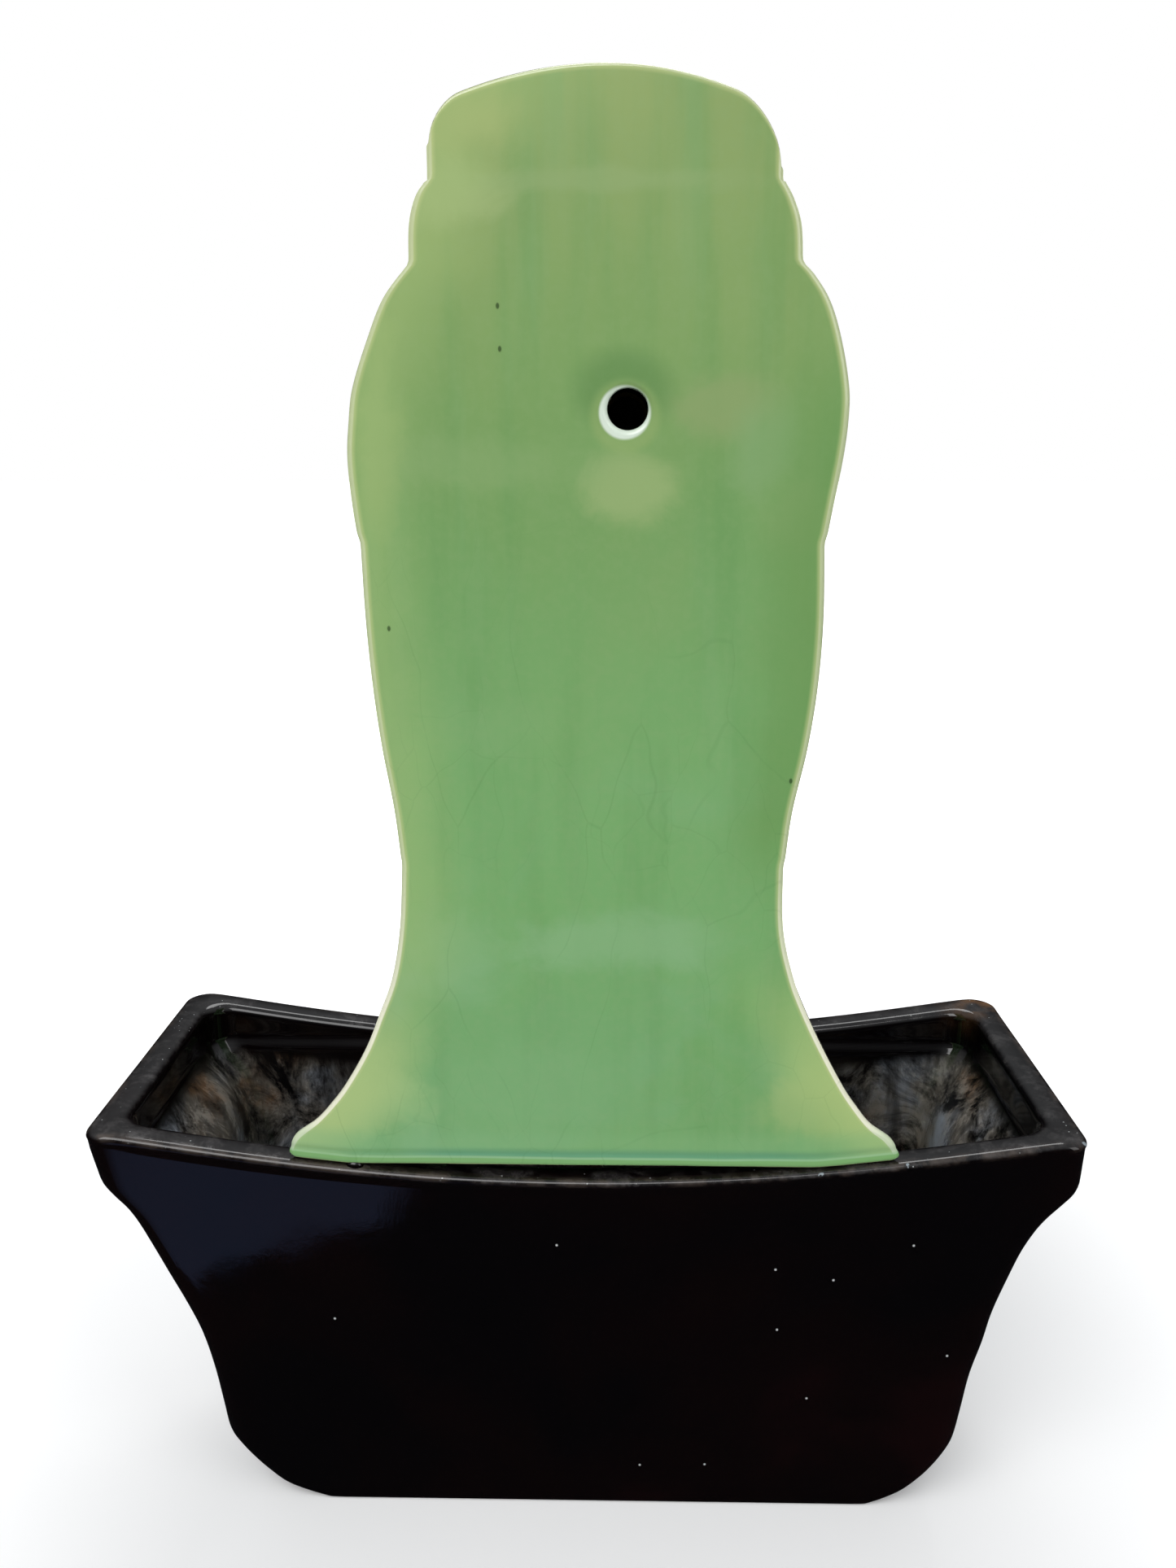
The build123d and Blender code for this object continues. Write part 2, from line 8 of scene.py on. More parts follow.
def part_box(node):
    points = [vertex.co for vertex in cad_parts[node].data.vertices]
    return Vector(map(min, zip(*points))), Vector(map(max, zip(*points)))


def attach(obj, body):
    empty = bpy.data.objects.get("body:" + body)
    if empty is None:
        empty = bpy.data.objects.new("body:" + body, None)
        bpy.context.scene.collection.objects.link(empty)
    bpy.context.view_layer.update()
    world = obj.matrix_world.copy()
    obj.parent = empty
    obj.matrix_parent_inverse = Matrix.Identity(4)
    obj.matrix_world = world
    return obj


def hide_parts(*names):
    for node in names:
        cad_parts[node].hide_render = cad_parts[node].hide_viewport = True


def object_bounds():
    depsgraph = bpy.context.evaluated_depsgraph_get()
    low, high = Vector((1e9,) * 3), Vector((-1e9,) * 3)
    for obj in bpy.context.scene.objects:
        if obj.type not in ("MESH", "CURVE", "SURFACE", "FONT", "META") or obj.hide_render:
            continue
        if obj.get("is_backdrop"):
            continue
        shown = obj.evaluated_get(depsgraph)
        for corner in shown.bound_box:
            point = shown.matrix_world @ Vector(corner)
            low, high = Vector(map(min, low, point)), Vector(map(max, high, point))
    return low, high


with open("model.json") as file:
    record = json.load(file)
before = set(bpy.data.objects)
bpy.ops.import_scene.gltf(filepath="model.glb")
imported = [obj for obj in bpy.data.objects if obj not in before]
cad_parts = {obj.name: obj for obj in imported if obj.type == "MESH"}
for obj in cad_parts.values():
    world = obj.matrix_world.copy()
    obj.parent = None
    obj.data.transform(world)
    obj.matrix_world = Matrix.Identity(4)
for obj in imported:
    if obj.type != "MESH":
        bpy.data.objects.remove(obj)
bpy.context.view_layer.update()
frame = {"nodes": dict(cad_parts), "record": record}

MM = 0.001

# ------------------------------------------------------------------ places from the frame
basin_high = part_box("basin")[1]
upright_low, upright_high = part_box("upright")
port = next(m for m in frame["record"]["mounts"] if m["name"] == "rear_port")
PORT_X = port["pos_m"][0] / MM
PORT_Z = port["pos_m"][2] / MM
PORT_R = port["dims"]["r_mm"]

# ------------------------------------------------------------------ driving sizes, in millimetres
RIM_X = basin_high.x / MM - 0.1
RIM_Y = basin_high.y / MM - 0.1
RIM_Z = basin_high.z / MM
RIM_SAG = 13.8
SAG_END = 143.0
BASE_Y = 36.5
RIM_WIDTH = 10.3
BASIN_WALL = 6.5
BAND_DEPTH = 14.0            # inner vertical band under the rim
BAND_STEP = 2.2              # how far the wall steps in under that band
BASIN_CORNER = 7.0
BASIN_UNEVEN = 0.12
FLOOR_Z = 9.0
RIM_OUTER_ROUND = 2.0
RIM_INNER_ROUND = 3.0
REAR_Y = upright_low.y / MM
TOP_Z = upright_high.z / MM
FOOT_Z = 138.3               # the upright's lower edge
UPRIGHT_WALL = 6.5
REST_GAP = 0.4
MID_X = 5.7
PLATE = 7.0                  # straight edge of the back plate
SKIRT_EDGE = 2.3             # the same edge at the foot of the skirt
EDGE_ROUND = 1.5
FOOT_ROUND = 1.3
TOP_ROUND = 1.0
CAP_HALF = 43.2
PORT_ROLL = 1.7
SPOUT_HOLE_R = 8.513
LEG_WIDTH = 8.0
LEG_FLOOR = 9.3
LEG_LEFT = {"upright_leg_left": -50.3, "upright_leg_right": 47.7}

# outer length of the basin's ends, left and right of the middle, at each height from the table
END_WALL = [(0, 90.0, 99.0), (2, 96.0, 104.0), (6, 104.5, 110.5), (11, 109.6, 115.2),
            (16, 113.6, 118.8), (22, 117.6, 122.0), (28, 120.4, 124.2), (40, 121.6, 125.6),
            (56, 123.1, 127.0), (70, 125.4, 129.6), (82, 129.0, 131.4), (95, 133.6, 134.6),
            (107, 137.8, 138.0), (115, 140.9, 141.4), (120, 143.6, 144.6), (125, 147.4, 148.6),
            (129, 149.8, 151.4), (134, 150.8, 152.3), (148, 152.9, 152.9)]
# half length of the inside, from the floor up to the band
INNER_END_WALL = [(9, 95), (27, 113.5), (70, 120.5), (110, 128.0), (119, 131.5), (127, 137.5), (134, 142.2)]

# tiers of the upright: height, left edge, right edge, front of the relief
SKIRT = [(134, -91, 98, 14), (146, -87.2, 92.6, 14), (152, -80.4, 86.0, 13), (158, -75, 81.3, 12),
         (164, -70.6, 77.3, 11), (176, -63.8, 70.8, 8), (187, -59.3, 65.5, 5), (199, -54.9, 60.7, 3),
         (215, -52.0, 56.9, 1), (235, -50.6, 56.1, 0)]
LOWER_BODY = [(235, -50.8, 56.5, 1), (250, -52.2, 58.0, 5), (268, -54.9, 61.4, 8), (285, -56.7, 63.4, 10),
              (303, -57.8, 64.1, 11), (325, -58.3, 63.4, 9)]
UPPER_BODY = [(325, -58.9, 63.9, 11), (334, -60.0, 65.3, 14), (346, -60.7, 67.2, 15.6),
              (355, -59.9, 68.0, 15.8), (363, -58.6, 67.8, 15.6), (376, -53.8, 64.9, 12),
              (385, -49.6, 61.4, 8), (392, -43.9, 56.3, 3)]
COLLAR = [(392, -42.9, 54.7, 3), (402, -42.5, 53.9, 4), (408, -40.9, 51.7, 3), (411.5, -38.8, 49.6, 1)]
CAP = [(411.5, -37.6, 49.1, -1), (424, -37.5, 48.9, -2), (438, -37.4, 48.7, -2)]
TIERS = [SKIRT, LOWER_BODY, UPPER_BODY, COLLAR, CAP]
# flutes of the front: lowest and highest point, length of each fade, depth, number around the front
FLUTES = [(141, 228, 12, 18, 2.6, 9), (240, 323, 10, 10, 1.5, 15), (327, 390, 8, 10, 2.4, 11),
          (394, 410, 3, 3, 1.3, 21)]

# glaze faults, in millimetres: pinholes (x, z) in the flat back, specks (x, z) on the basin's near
# face, and chips (x, y, z, radius) along the rim
PINHOLES = [(-21.3, 382.9), (-20.9, 372.6), (-52.1, 301.3), (57.7, 259.3)]
SPECKS = [(-8.2, 109.2), (102.2, 110.5), (78.4, 96.7), (60.1, 100.6), (61.8, 76.6), (116.9, 66.7),
          (73.0, 47.9), (40.6, 18.1), (-79.7, 79.0), (18.8, 17.4)]
# cloudy patches in the flat back: x, z, half width, half height, strength, colour
PATCHES = [(36, 358, 13, 9, 0.80, (0.290, 0.400, 0.165)),
           (48, 348, 10, 11, 0.65, (0.255, 0.430, 0.185)), (58, 334, 8, 12, 0.55, (0.270, 0.410, 0.165)),
           (13, 338, 11, 9, 0.75, (0.360, 0.490, 0.205)), (-35, 410, 16, 9, 0.80, (0.380, 0.500, 0.215)),
           (4, 412, 34, 3, 0.50, (0.330, 0.460, 0.200)), (-28, 426, 14, 9, 0.70, (0.400, 0.480, 0.190)),
           (-30, 344, 30, 7, 0.45, (0.280, 0.440, 0.180)), (-53, 352, 6, 22, 0.60, (0.330, 0.470, 0.175)),
           (9, 211, 26, 9, 0.65, (0.275, 0.500, 0.245)), (-36, 206, 13, 13, 0.55, (0.275, 0.500, 0.240)),
           (-28, 274, 14, 9, 0.35, (0.250, 0.450, 0.190)), (-16, 165, 30, 14, 0.30, (0.250, 0.480, 0.210)),
           (-62, 160, 15, 14, 0.55, (0.420, 0.600, 0.250)), (66, 158, 13, 12, 0.55, (0.420, 0.550, 0.215))]
CHIPS = [(151.3, -49.6, 147.2, 1.5), (71.7, -52.0, 137.4, 0.9), (97.4, -52.0, 140.8, 0.8)]


# ------------------------------------------------------------------ small helpers
def clamp(value, low=0.0, high=1.0):
    return max(low, min(high, value))


def smooth(value):
    value = clamp(value)
    return value * value * (3 - 2 * value)


def eased(rows, z):
    """The row at height z, on a smooth curve through rows."""
    z = clamp(z, rows[0][0], rows[-1][0])
    i = 0
    while i < len(rows) - 2 and z > rows[i + 1][0]:
        i += 1
    low, high = rows[i], rows[i + 1]
    before = rows[max(i - 1, 0)]
    after = rows[min(i + 2, len(rows) - 1)]
    rise = high[0] - low[0]
    t = (z - low[0]) / rise
    result = []
    for k in range(1, len(low)):
        slope_low = (high[k] - before[k]) / (high[0] - before[0])
        slope_high = (after[k] - low[k]) / (after[0] - low[0])
        value = low[k] + (high[k] - low[k]) * t * t * (3 - 2 * t)
        value += slope_low * rise * t * (1 - t) ** 2 + slope_high * rise * t * t * (t - 1)
        result.append(value)
    return result


def rim_sag(x):
    """How far the rim has dropped at x."""
    t = clamp(abs(x) / SAG_END)
    return RIM_SAG * (1 - t * t) ** 1.12


def new_object(name, mesh):
    thing = bpy.data.objects.new(name, mesh)
    bpy.context.scene.collection.objects.link(thing)
    return thing


def mesh_from_rings(name, rings):
    """A closed skin over rings of equally many points, given in millimetres."""
    count = len(rings[0])
    points = [Vector(p) * MM for ring in rings for p in ring]
    faces = []
    for i in range(len(rings) - 1):
        a = i * count
        b = a + count
        for j in range(count):
            k = (j + 1) % count
            faces.append((a + j, a + k, b + k, b + j))
    faces.append(tuple(reversed(range(count))))
    last = (len(rings) - 1) * count
    faces.append(tuple(range(last, last + count)))
    mesh = bpy.data.meshes.new(name)
    mesh.from_pydata(points, [], faces)
    mesh.validate()
    work = bmesh.new()
    work.from_mesh(mesh)
    bmesh.ops.recalc_face_normals(work, faces=work.faces)
    work.to_mesh(mesh)
    work.free()
    mesh.shade_smooth()
    return new_object(name, mesh)


def add_value(thing, name, function):
    """Stores function(point in millimetres) as a per-vertex number that a material can read."""
    layer = thing.data.attributes.new(name, "FLOAT", "POINT")
    values = [function(v.co / MM) for v in thing.data.vertices]
    layer.data.foreach_set("value", values)


# ------------------------------------------------------------------ basin
LONG_STEPS = 96
END_STEPS = 22
CORNER_STEPS = 9


def outer_half_y(z):
    """The basin's long faces are flat and lean outwards."""
    return BASE_Y + (RIM_Y - BASE_Y) * z / RIM_Z


def inner_half_y(z):
    """Inside of the long walls: flush under the rim, then a shallow step inwards."""
    step = BAND_STEP * smooth((RIM_Z - BAND_DEPTH + 2 - z) / 7)
    return min(RIM_Y - RIM_WIDTH, outer_half_y(z) - BASIN_WALL + BAND_STEP) - step


def wobble(x, y, z, size):
    """A slow unevenness, as wet clay and running glaze leave it."""
    return size * noise.noise(Vector((x, y, z)) * 0.021) + 0.3 * size * noise.noise(Vector((y, z, x)) * 0.07)


def oblong(half_x, corner, half_y_at, z_at, uneven=0.0, shift=0.0):
    """One ring of the basin: a rounded oblong, moved by shift, whose height and depth follow x."""
    ring = []

    def put(x, side_y, reach):
        z = z_at(x)
        depth = half_y_at(z)
        y = side_y * (depth - corner + reach)
        push = wobble(x, y, z, uneven)
        ring.append((x + math.copysign(push, x) * (abs(x) > half_x - corner), y + side_y * push, z))

    straight = half_x - corner
    for i in range(LONG_STEPS):
        put(-straight + 2 * straight * i / LONG_STEPS, -1, corner)
    for i in range(CORNER_STEPS):
        a = math.pi / 2 * i / CORNER_STEPS
        put(straight + corner * math.sin(a), -1, corner * math.cos(a))
    for i in range(END_STEPS):
        z = z_at(half_x)
        y_end = half_y_at(z) - corner
        y = -y_end + 2 * y_end * i / END_STEPS
        ring.append((half_x + wobble(half_x, y, z, uneven), y, z))
    for i in range(CORNER_STEPS):
        a = math.pi / 2 * i / CORNER_STEPS
        put(straight + corner * math.cos(a), 1, corner * math.sin(a))
    for i in range(LONG_STEPS):
        put(straight - 2 * straight * i / LONG_STEPS, 1, corner)
    for i in range(CORNER_STEPS):
        a = math.pi / 2 * i / CORNER_STEPS
        put(-straight - corner * math.sin(a), 1, corner * math.cos(a))
    for i in range(END_STEPS):
        z = z_at(half_x)
        y_end = half_y_at(z) - corner
        y = y_end - 2 * y_end * i / END_STEPS
        ring.append((-half_x - wobble(-half_x, y, z, uneven), y, z))
    for i in range(CORNER_STEPS):
        a = math.pi / 2 * i / CORNER_STEPS
        put(-straight - corner * math.cos(a), -1, corner * math.sin(a))
    return [(x + shift, y, z) for x, y, z in ring]


def sagging(z, reach):
    """Height of a ring at x: rings near the rim follow its sag, rings reach lower do not."""
    weight = smooth((z - (RIM_Z - reach)) / reach)
    return lambda x: z - weight * rim_sag(x)


def make_basin():
    rings = []
    # underside: a shallow recess inside a flat foot ring
    foot_left, foot_right = END_WALL[0][1:]
    for inset, z in [(22, 2.5), (12.5, 2.4), (11.2, 1.8), (10.4, 0.5), (9.6, 0.0), (1.6, 0.0), (0.5, 0.2)]:
        rings.append(oblong((foot_left + foot_right) / 2 - inset, max(8 - inset, 3),
                            lambda height, i=inset: outer_half_y(0) - i, lambda x, level=z: level,
                            shift=(foot_right - foot_left) / 2))
    # outside wall
    z = 0.9
    while z < RIM_Z - 2.2:
        left, right = (min(reach, RIM_X - 0.2) for reach in eased(END_WALL, z))
        rings.append(oblong((left + right) / 2, BASIN_CORNER, outer_half_y, sagging(z, 70),
                            BASIN_UNEVEN, (right - left) / 2))
        z += 1.6 if 112 < z < 134 or z < 30 else 3.2
    # rim: a tight outer edge, a slightly crowned top and a softer inner edge
    rim_path = []
    for i in range(7):
        a = math.pi / 2 * i / 6
        rim_path.append((RIM_OUTER_ROUND * (1 - math.cos(a)), RIM_OUTER_ROUND * (1 - math.sin(a))))
    rim_path += [(3.5, -0.12), (5.0, -0.18), (6.3, -0.1)]
    for i in range(8):
        a = math.pi / 2 * i / 7
        rim_path.append((RIM_WIDTH - RIM_INNER_ROUND * (1 - math.sin(a)),
                         RIM_INNER_ROUND * (1 - math.cos(a))))
    for inset, drop in rim_path:
        level = RIM_Z - 0.2 - drop
        rings.append(oblong(RIM_X - inset, BASIN_CORNER + 0.2 * inset,
                            lambda height, i=inset: RIM_Y - i - 0.05,
                            lambda x, z=level: z - rim_sag(x), BASIN_UNEVEN))
    # inside: the vertical band, the step and the sloping walls down to the floor
    z = RIM_Z - 4.5
    while z > FLOOR_Z + 0.5:
        half_x = RIM_X - RIM_WIDTH
        if z <= RIM_Z - BAND_DEPTH:
            half_x = min(eased(INNER_END_WALL, z)[0], half_x)
        rings.append(oblong(half_x, 10.0 - 2.5 * smooth((130 - z) / 60), inner_half_y, sagging(z, 30), 0.35))
        z -= 1.5 if z > 104 or z < 30 else 3.5
    for inset in (3, 10, 20):
        rings.append(oblong(INNER_END_WALL[0][1] - inset, max(8 - inset / 3, 3),
                            lambda height, i=inset: inner_half_y(FLOOR_Z) - i, lambda x: FLOOR_Z))
    return mesh_from_rings("basin_glazed", rings)


def basin_edge_wear(p):
    """1 where the glaze runs thin: along the rim's edges and the upright corners."""
    rim_level = RIM_Z - rim_sag(p.x)
    near_top = smooth(1 - abs(rim_level - p.z - 0.6) / 2.2)
    outer = smooth(1 - abs(RIM_Y - abs(p.y) - 0.9) / 2.0) + smooth(1 - abs(RIM_X - abs(p.x) - 0.9) / 2.0)
    return clamp(near_top * clamp(outer))


def basin_inside(p):
    """1 on the inner walls and floor, below the band."""
    level = RIM_Z - 0.8 * rim_sag(p.x)
    depth = smooth((level - BAND_DEPTH - 1 - p.z) / 6)
    within_x = abs(p.x) < min(eased(END_WALL, clamp(p.z, 0, 148))) - 2.5
    within_y = abs(p.y) < outer_half_y(p.z) - 3.5
    return depth if within_x and within_y and p.z > 6 else 0.0


# ------------------------------------------------------------------ upright
REAR_STEPS = 84
TURN_STEPS = 6
FRONT_STEPS = 132
SIDE_STEPS = 2


def tier_at(z):
    for rows in TIERS:
        if z <= rows[-1][0]:
            return rows
    return CAP


def outline(z):
    """(left, right, front) at height z, with the glaze softening each ledge."""
    total = [0.0, 0.0, 0.0]
    weights = 0.0
    for step in range(-3, 4):
        weight = math.exp(-0.5 * (step / 1.6) ** 2)
        level = z + step * 0.55
        row = eased(tier_at(level), level)
        total = [t + weight * v for t, v in zip(total, row)]
        weights += weight
    return [t / weights for t in total]


def rest_height(x):
    """Lower edge of the upright: level in the middle, and resting on the rim at both ends."""
    return max(FOOT_Z, RIM_Z - rim_sag(x) + REST_GAP)


def top_height(x, y):
    """The cap: a low arch across, with rounded shoulders, that falls away to the front."""
    across = abs(x - MID_X)
    drop, radius = (9.2, 8.0) if x < MID_X else (10.8, 12.0)
    arch = drop * (across / CAP_HALF) ** 2
    over = clamp(across - (CAP_HALF - radius), 0, radius)
    shoulder = radius - math.sqrt(radius * radius - over * over)
    droop = 15.0 * clamp((y + 43.0) / 43.0) ** 2.2
    return TOP_Z - 0.02 - arch - shoulder - droop


def lobes(count, angle):
    """0 on the crown of a lobe and 1 in the groove between two, around the front."""
    phase = (angle / math.pi * count) % 1.0
    return abs(2 * phase - 1) ** 3


def relief(z, angle):
    """How far the front is carved in at this height and angle (0 and pi are the two sides)."""
    sides = smooth(math.sin(angle) * 2.2)
    for low, high, rise, fall, depth, count in FLUTES:
        if low < z < high:
            fade = smooth((z - low) / rise) * smooth((high - z) / fall)
            return depth * fade * lobes(count, angle) * sides
    return 0.0


def section(z, inset, plain=False):
    """Points (x, y) around the upright at height z: the flat rear first, then the front."""
    left, right, front = outline(z)
    low = clamp(3.0 - (z - FOOT_Z), 0, 3.0)
    corner = 3.0 - math.sqrt(9.0 - low * low)
    spread = 0.7 * smooth((z - 148) / 12)
    left += inset + corner - spread
    right -= inset + corner - spread
    front -= inset
    narrow = 0.20 * smooth((196 - z) / 40)
    back = REAR_Y + inset
    turn = max(EDGE_ROUND - inset, 0.8)
    plate = SKIRT_EDGE + (PLATE - SKIRT_EDGE) * smooth((z - 150) / 60)
    side = max(REAR_Y + plate, back + turn + 0.3)
    points = []
    for i in range(REAR_STEPS):
        points.append((left + turn + (right - left - 2 * turn) * i / REAR_STEPS, back))
    for i in range(TURN_STEPS):
        a = math.pi / 2 * i / TURN_STEPS
        points.append((right - turn + turn * math.sin(a), back + turn - turn * math.cos(a)))
    for i in range(SIDE_STEPS):
        points.append((right, back + turn + (side - back - turn) * i / SIDE_STEPS))
    middle = (left + right) / 2
    for i in range(FRONT_STEPS):
        a = math.pi * i / FRONT_STEPS
        x = middle + (right - left) / 2 * math.cos(a) * (1 - narrow * smooth(math.sin(a) * 5))
        y = side + (front - side) * math.sin(a)
        if not plain:
            near_spout = smooth((math.hypot(x - PORT_X, z - PORT_Z) - 12.5) / 9)
            carve = relief(z, a) * near_spout
            x -= carve * math.cos(a)
            y -= carve * math.sin(a)
        points.append((x, y))
    for i in range(SIDE_STEPS):
        points.append((left, side + (back + turn - side) * i / SIDE_STEPS))
    for i in range(TURN_STEPS):
        a = math.pi / 2 * i / TURN_STEPS
        points.append((left + turn - turn * math.cos(a), back + turn - turn * math.sin(a)))
    return points


def foot_ring(level, inset, plain=False):
    """A ring near the lower edge, lifted where the edge rests on the rim."""
    fade = (1 - smooth((level - FOOT_Z) / 26)) if level > FOOT_Z else 1.0
    ring = []
    for x, y in section(level, inset, plain):
        ring.append((x, y, level + (rest_height(x) - FOOT_Z) * fade))
    return ring


def shoulder_ring(level, inset):
    """A ring on the cap's side: rings crowd under the arch."""
    start = CAP[0][0]
    share = (level - start) / (TOP_Z - start)
    ring = []
    for x, y in section(min(level, 424), inset):
        top = top_height(x, y) - TOP_ROUND
        ring.append((x, y, start + share * (top - start)))
    return ring


def make_upright():
    rings = []
    wall = UPRIGHT_WALL
    cap_start = CAP[0][0]
    # inside, from the top down; one hollow, with no carving
    inner_levels = [404, 396, 380, 362, 345, 328, 310, 290, 268, 250, 235, 218, 202, 188, 176, 166, 157, 150]
    core = [((x - MID_X) * 0.3 + MID_X, (y + 25) * 0.3 - 25, 413.0) for x, y in section(404, wall, True)]
    rings.append(core)
    rings.append([(x, y, 411.0) for x, y in section(404, wall + 4, True)])
    for level in inner_levels:
        rings.append([(x, y, level) for x, y in section(level, wall, True)])
    # lower edge: flat, with rounded corners
    rings.append(foot_ring(FOOT_Z + 6.5, wall, True))
    for i in range(6):
        a = math.pi / 2 * i / 5
        level = FOOT_Z + FOOT_ROUND * (1 - math.sin(a))
        rings.append(foot_ring(level, wall - FOOT_ROUND * (1 - math.cos(a)), True))
    for i in range(1, 7):
        a = math.pi / 2 * i / 6
        rings.append(foot_ring(FOOT_Z + FOOT_ROUND * (1 - math.cos(a)), FOOT_ROUND * (1 - math.sin(a))))
    # outside: a slight neck over the edge, where glaze pools, and then up to the cap
    level = FOOT_Z + FOOT_ROUND + 0.5
    while level < cap_start:
        neck = 0.4 * math.exp(-((level - FOOT_Z - 3.6) / 1.3) ** 2)
        rings.append(foot_ring(level, neck))
        level += 0.6 if level < 146 else 1.1 if level < 170 or level > 300 else 1.7
    for i in range(12):
        rings.append(shoulder_ring(cap_start + (TOP_Z - cap_start) * i / 12, 0.0))
    # cap: a rounded edge, then rings that close over the top
    for i in range(7):
        a = math.pi / 2 * i / 6
        inset = TOP_ROUND * (1 - math.cos(a))
        ring = []
        for x, y in section(424, inset):
            ring.append((x, y, top_height(x, y) - TOP_ROUND * (1 - math.sin(a))))
        rings.append(ring)
    edge = section(424, TOP_ROUND)
    for scale in (0.9, 0.75, 0.58, 0.4, 0.22, 0.08):
        ring = []
        for x, y in edge:
            x = MID_X + (x - MID_X) * scale
            y = -28 + (y + 28) * scale
            ring.append((x, y, top_height(x, y)))
        rings.append(ring)
    upright = mesh_from_rings("upright_glazed", rings)
    drill_port(upright)
    drill_spout_hole(upright)
    soften(upright)
    return upright


# cutters stand this far off their nominal place, so that no edge lies exactly on a ring of the casting
OFF_GRID_X = 0.017
OFF_GRID_Z = 0.023
CUTTER_SIDES = 64


def lathe_cutter(profile, x, z):
    """A solid of revolution about a line along Y, from (y, radius) pairs."""
    rings = []
    for y, radius in profile:
        rings.append([(x + radius * math.cos(2 * math.pi * i / CUTTER_SIDES), y,
                       z + radius * math.sin(2 * math.pi * i / CUTTER_SIDES)) for i in range(CUTTER_SIDES)])
    return mesh_from_rings("cutter", rings)


def cut(thing, cutter):
    modifier = thing.modifiers.new("cut", "BOOLEAN")
    modifier.operation = "DIFFERENCE"
    modifier.solver = "EXACT"
    modifier.object = cutter
    graph = bpy.context.evaluated_depsgraph_get()
    result = bpy.data.meshes.new_from_object(thing.evaluated_get(graph))
    thing.modifiers.clear()
    thing.data = result
    bpy.data.objects.remove(cutter)


def drill_port(upright):
    """The port in the flat back, with a rolled mouth."""
    radius = PORT_R + 0.013
    profile = [(REAR_Y - 3, radius + PORT_ROLL)]
    for i in range(9):
        a = math.pi / 2 * i / 8
        y = REAR_Y + PORT_ROLL * (1 - math.cos(a)) - 0.05
        profile.append((y, radius + PORT_ROLL * (1 - math.sin(a))))
    profile.append((REAR_Y + UPRIGHT_WALL + 3, radius))
    cut(upright, lathe_cutter(profile, PORT_X + OFF_GRID_X, PORT_Z + OFF_GRID_Z))


def drill_spout_hole(upright):
    profile = [(0.3, SPOUT_HOLE_R), (30.3, SPOUT_HOLE_R)]
    cut(upright, lathe_cutter(profile, PORT_X + OFF_GRID_X, PORT_Z + OFF_GRID_Z))


def soften(upright):
    """Slow unevenness over the outside of the casting."""
    for v in upright.data.vertices:
        p = v.co / MM
        if p.y < REAR_Y + 1.0:
            away = smooth((math.hypot(p.x - PORT_X, p.z - PORT_Z) - 9) / 12)
            v.co.y += MM * away * (0.25 + wobble(p.x, 0, p.z, 0.35))
    upright.data.shade_smooth()
    upright.data.set_sharp_from_angle(angle=math.radians(50))


def make_leg(name, x_low):
    """A flat tapered leg of the same casting, from the skirt's inside to the basin's floor."""
    hip = FOOT_Z + 0.7
    profile = [(-39.0, hip), (-26.0, LEG_FLOOR), (8.0, LEG_FLOOR), (-8.0, hip), (-12.0, 146.0),
               (-43.5, 146.0), (-43.5, hip + 1)]
    work = bmesh.new()
    low = [work.verts.new(Vector((x_low, y, z)) * MM) for y, z in profile]
    high = [work.verts.new(Vector((x_low + LEG_WIDTH, y, z)) * MM) for y, z in profile]
    work.faces.new(low)
    work.faces.new(reversed(high))
    for i in range(len(profile)):
        k = (i + 1) % len(profile)
        work.faces.new((low[k], low[i], high[i], high[k]))
    bmesh.ops.recalc_face_normals(work, faces=work.faces)
    mesh = bpy.data.meshes.new(name)
    work.to_mesh(mesh)
    work.free()
    leg = new_object(name, mesh)
    bevel = leg.modifiers.new("round", "BEVEL")
    bevel.width = 2.2 * MM
    bevel.segments = 4
    bevel.limit_method = "ANGLE"
    leg.data.shade_smooth()
    weighted = leg.modifiers.new("normals", "WEIGHTED_NORMAL")
    weighted.keep_sharp = True
    return leg


def make_bead():
    """A drop of glaze that ran and set on the rim, under the upright's lower edge."""
    x = -69.5
    y = -RIM_Y + 2.6
    z = RIM_Z - rim_sag(x) - 0.3
    rings = []
    for i in range(9):
        a = math.pi / 2 * i / 8
        radius = math.cos(a)
        rings.append([(x + 2.6 * radius * math.cos(t), y + 1.5 * radius * math.sin(t), z + 1.7 * math.sin(a))
                      for t in [2 * math.pi * k / 28 for k in range(28)]])
    rings.insert(0, [(x + (px - x) * 1.15, y + (py - y) * 1.15, z - 0.5) for px, py, _ in rings[0]])
    return mesh_from_rings("glaze_bead", rings)


def basin_rim(p):
    """1 on the rim's top face."""
    return smooth(1.6 - abs(RIM_Z - rim_sag(p.x) - p.z) / 1.6)


def upright_edge(p):
    """Distance in from the upright's left or right outline, in millimetres; 30 on the front."""
    if p.y > REAR_Y + PLATE:
        return 30.0
    left, right, _ = outline(clamp(p.z, FOOT_Z, 436))
    reach = min(p.x - left, right - p.x)
    if p.z > 405:
        reach = min(reach, top_height(clamp(p.x, MID_X - 43, MID_X + 43), p.y) - p.z)
    return max(reach, 0.0)


def upright_low(p):
    """Height above the upright's lower edge, in millimetres."""
    return p.z - rest_height(p.x)


def upright_groove(p):
    """1 in the grooves of the front relief, where glaze pools."""
    if p.y < REAR_Y + PLATE or p.z < 141:
        return 0.0
    left, right, front = outline(p.z)
    side = REAR_Y + PLATE
    across = clamp((p.x - (left + right) / 2) / ((right - left) / 2), -1, 1)
    along = max(p.y - side, 0.0) / (front - side)
    angle = math.atan2(along, across)
    return clamp(relief(p.z, angle) / 2.0)


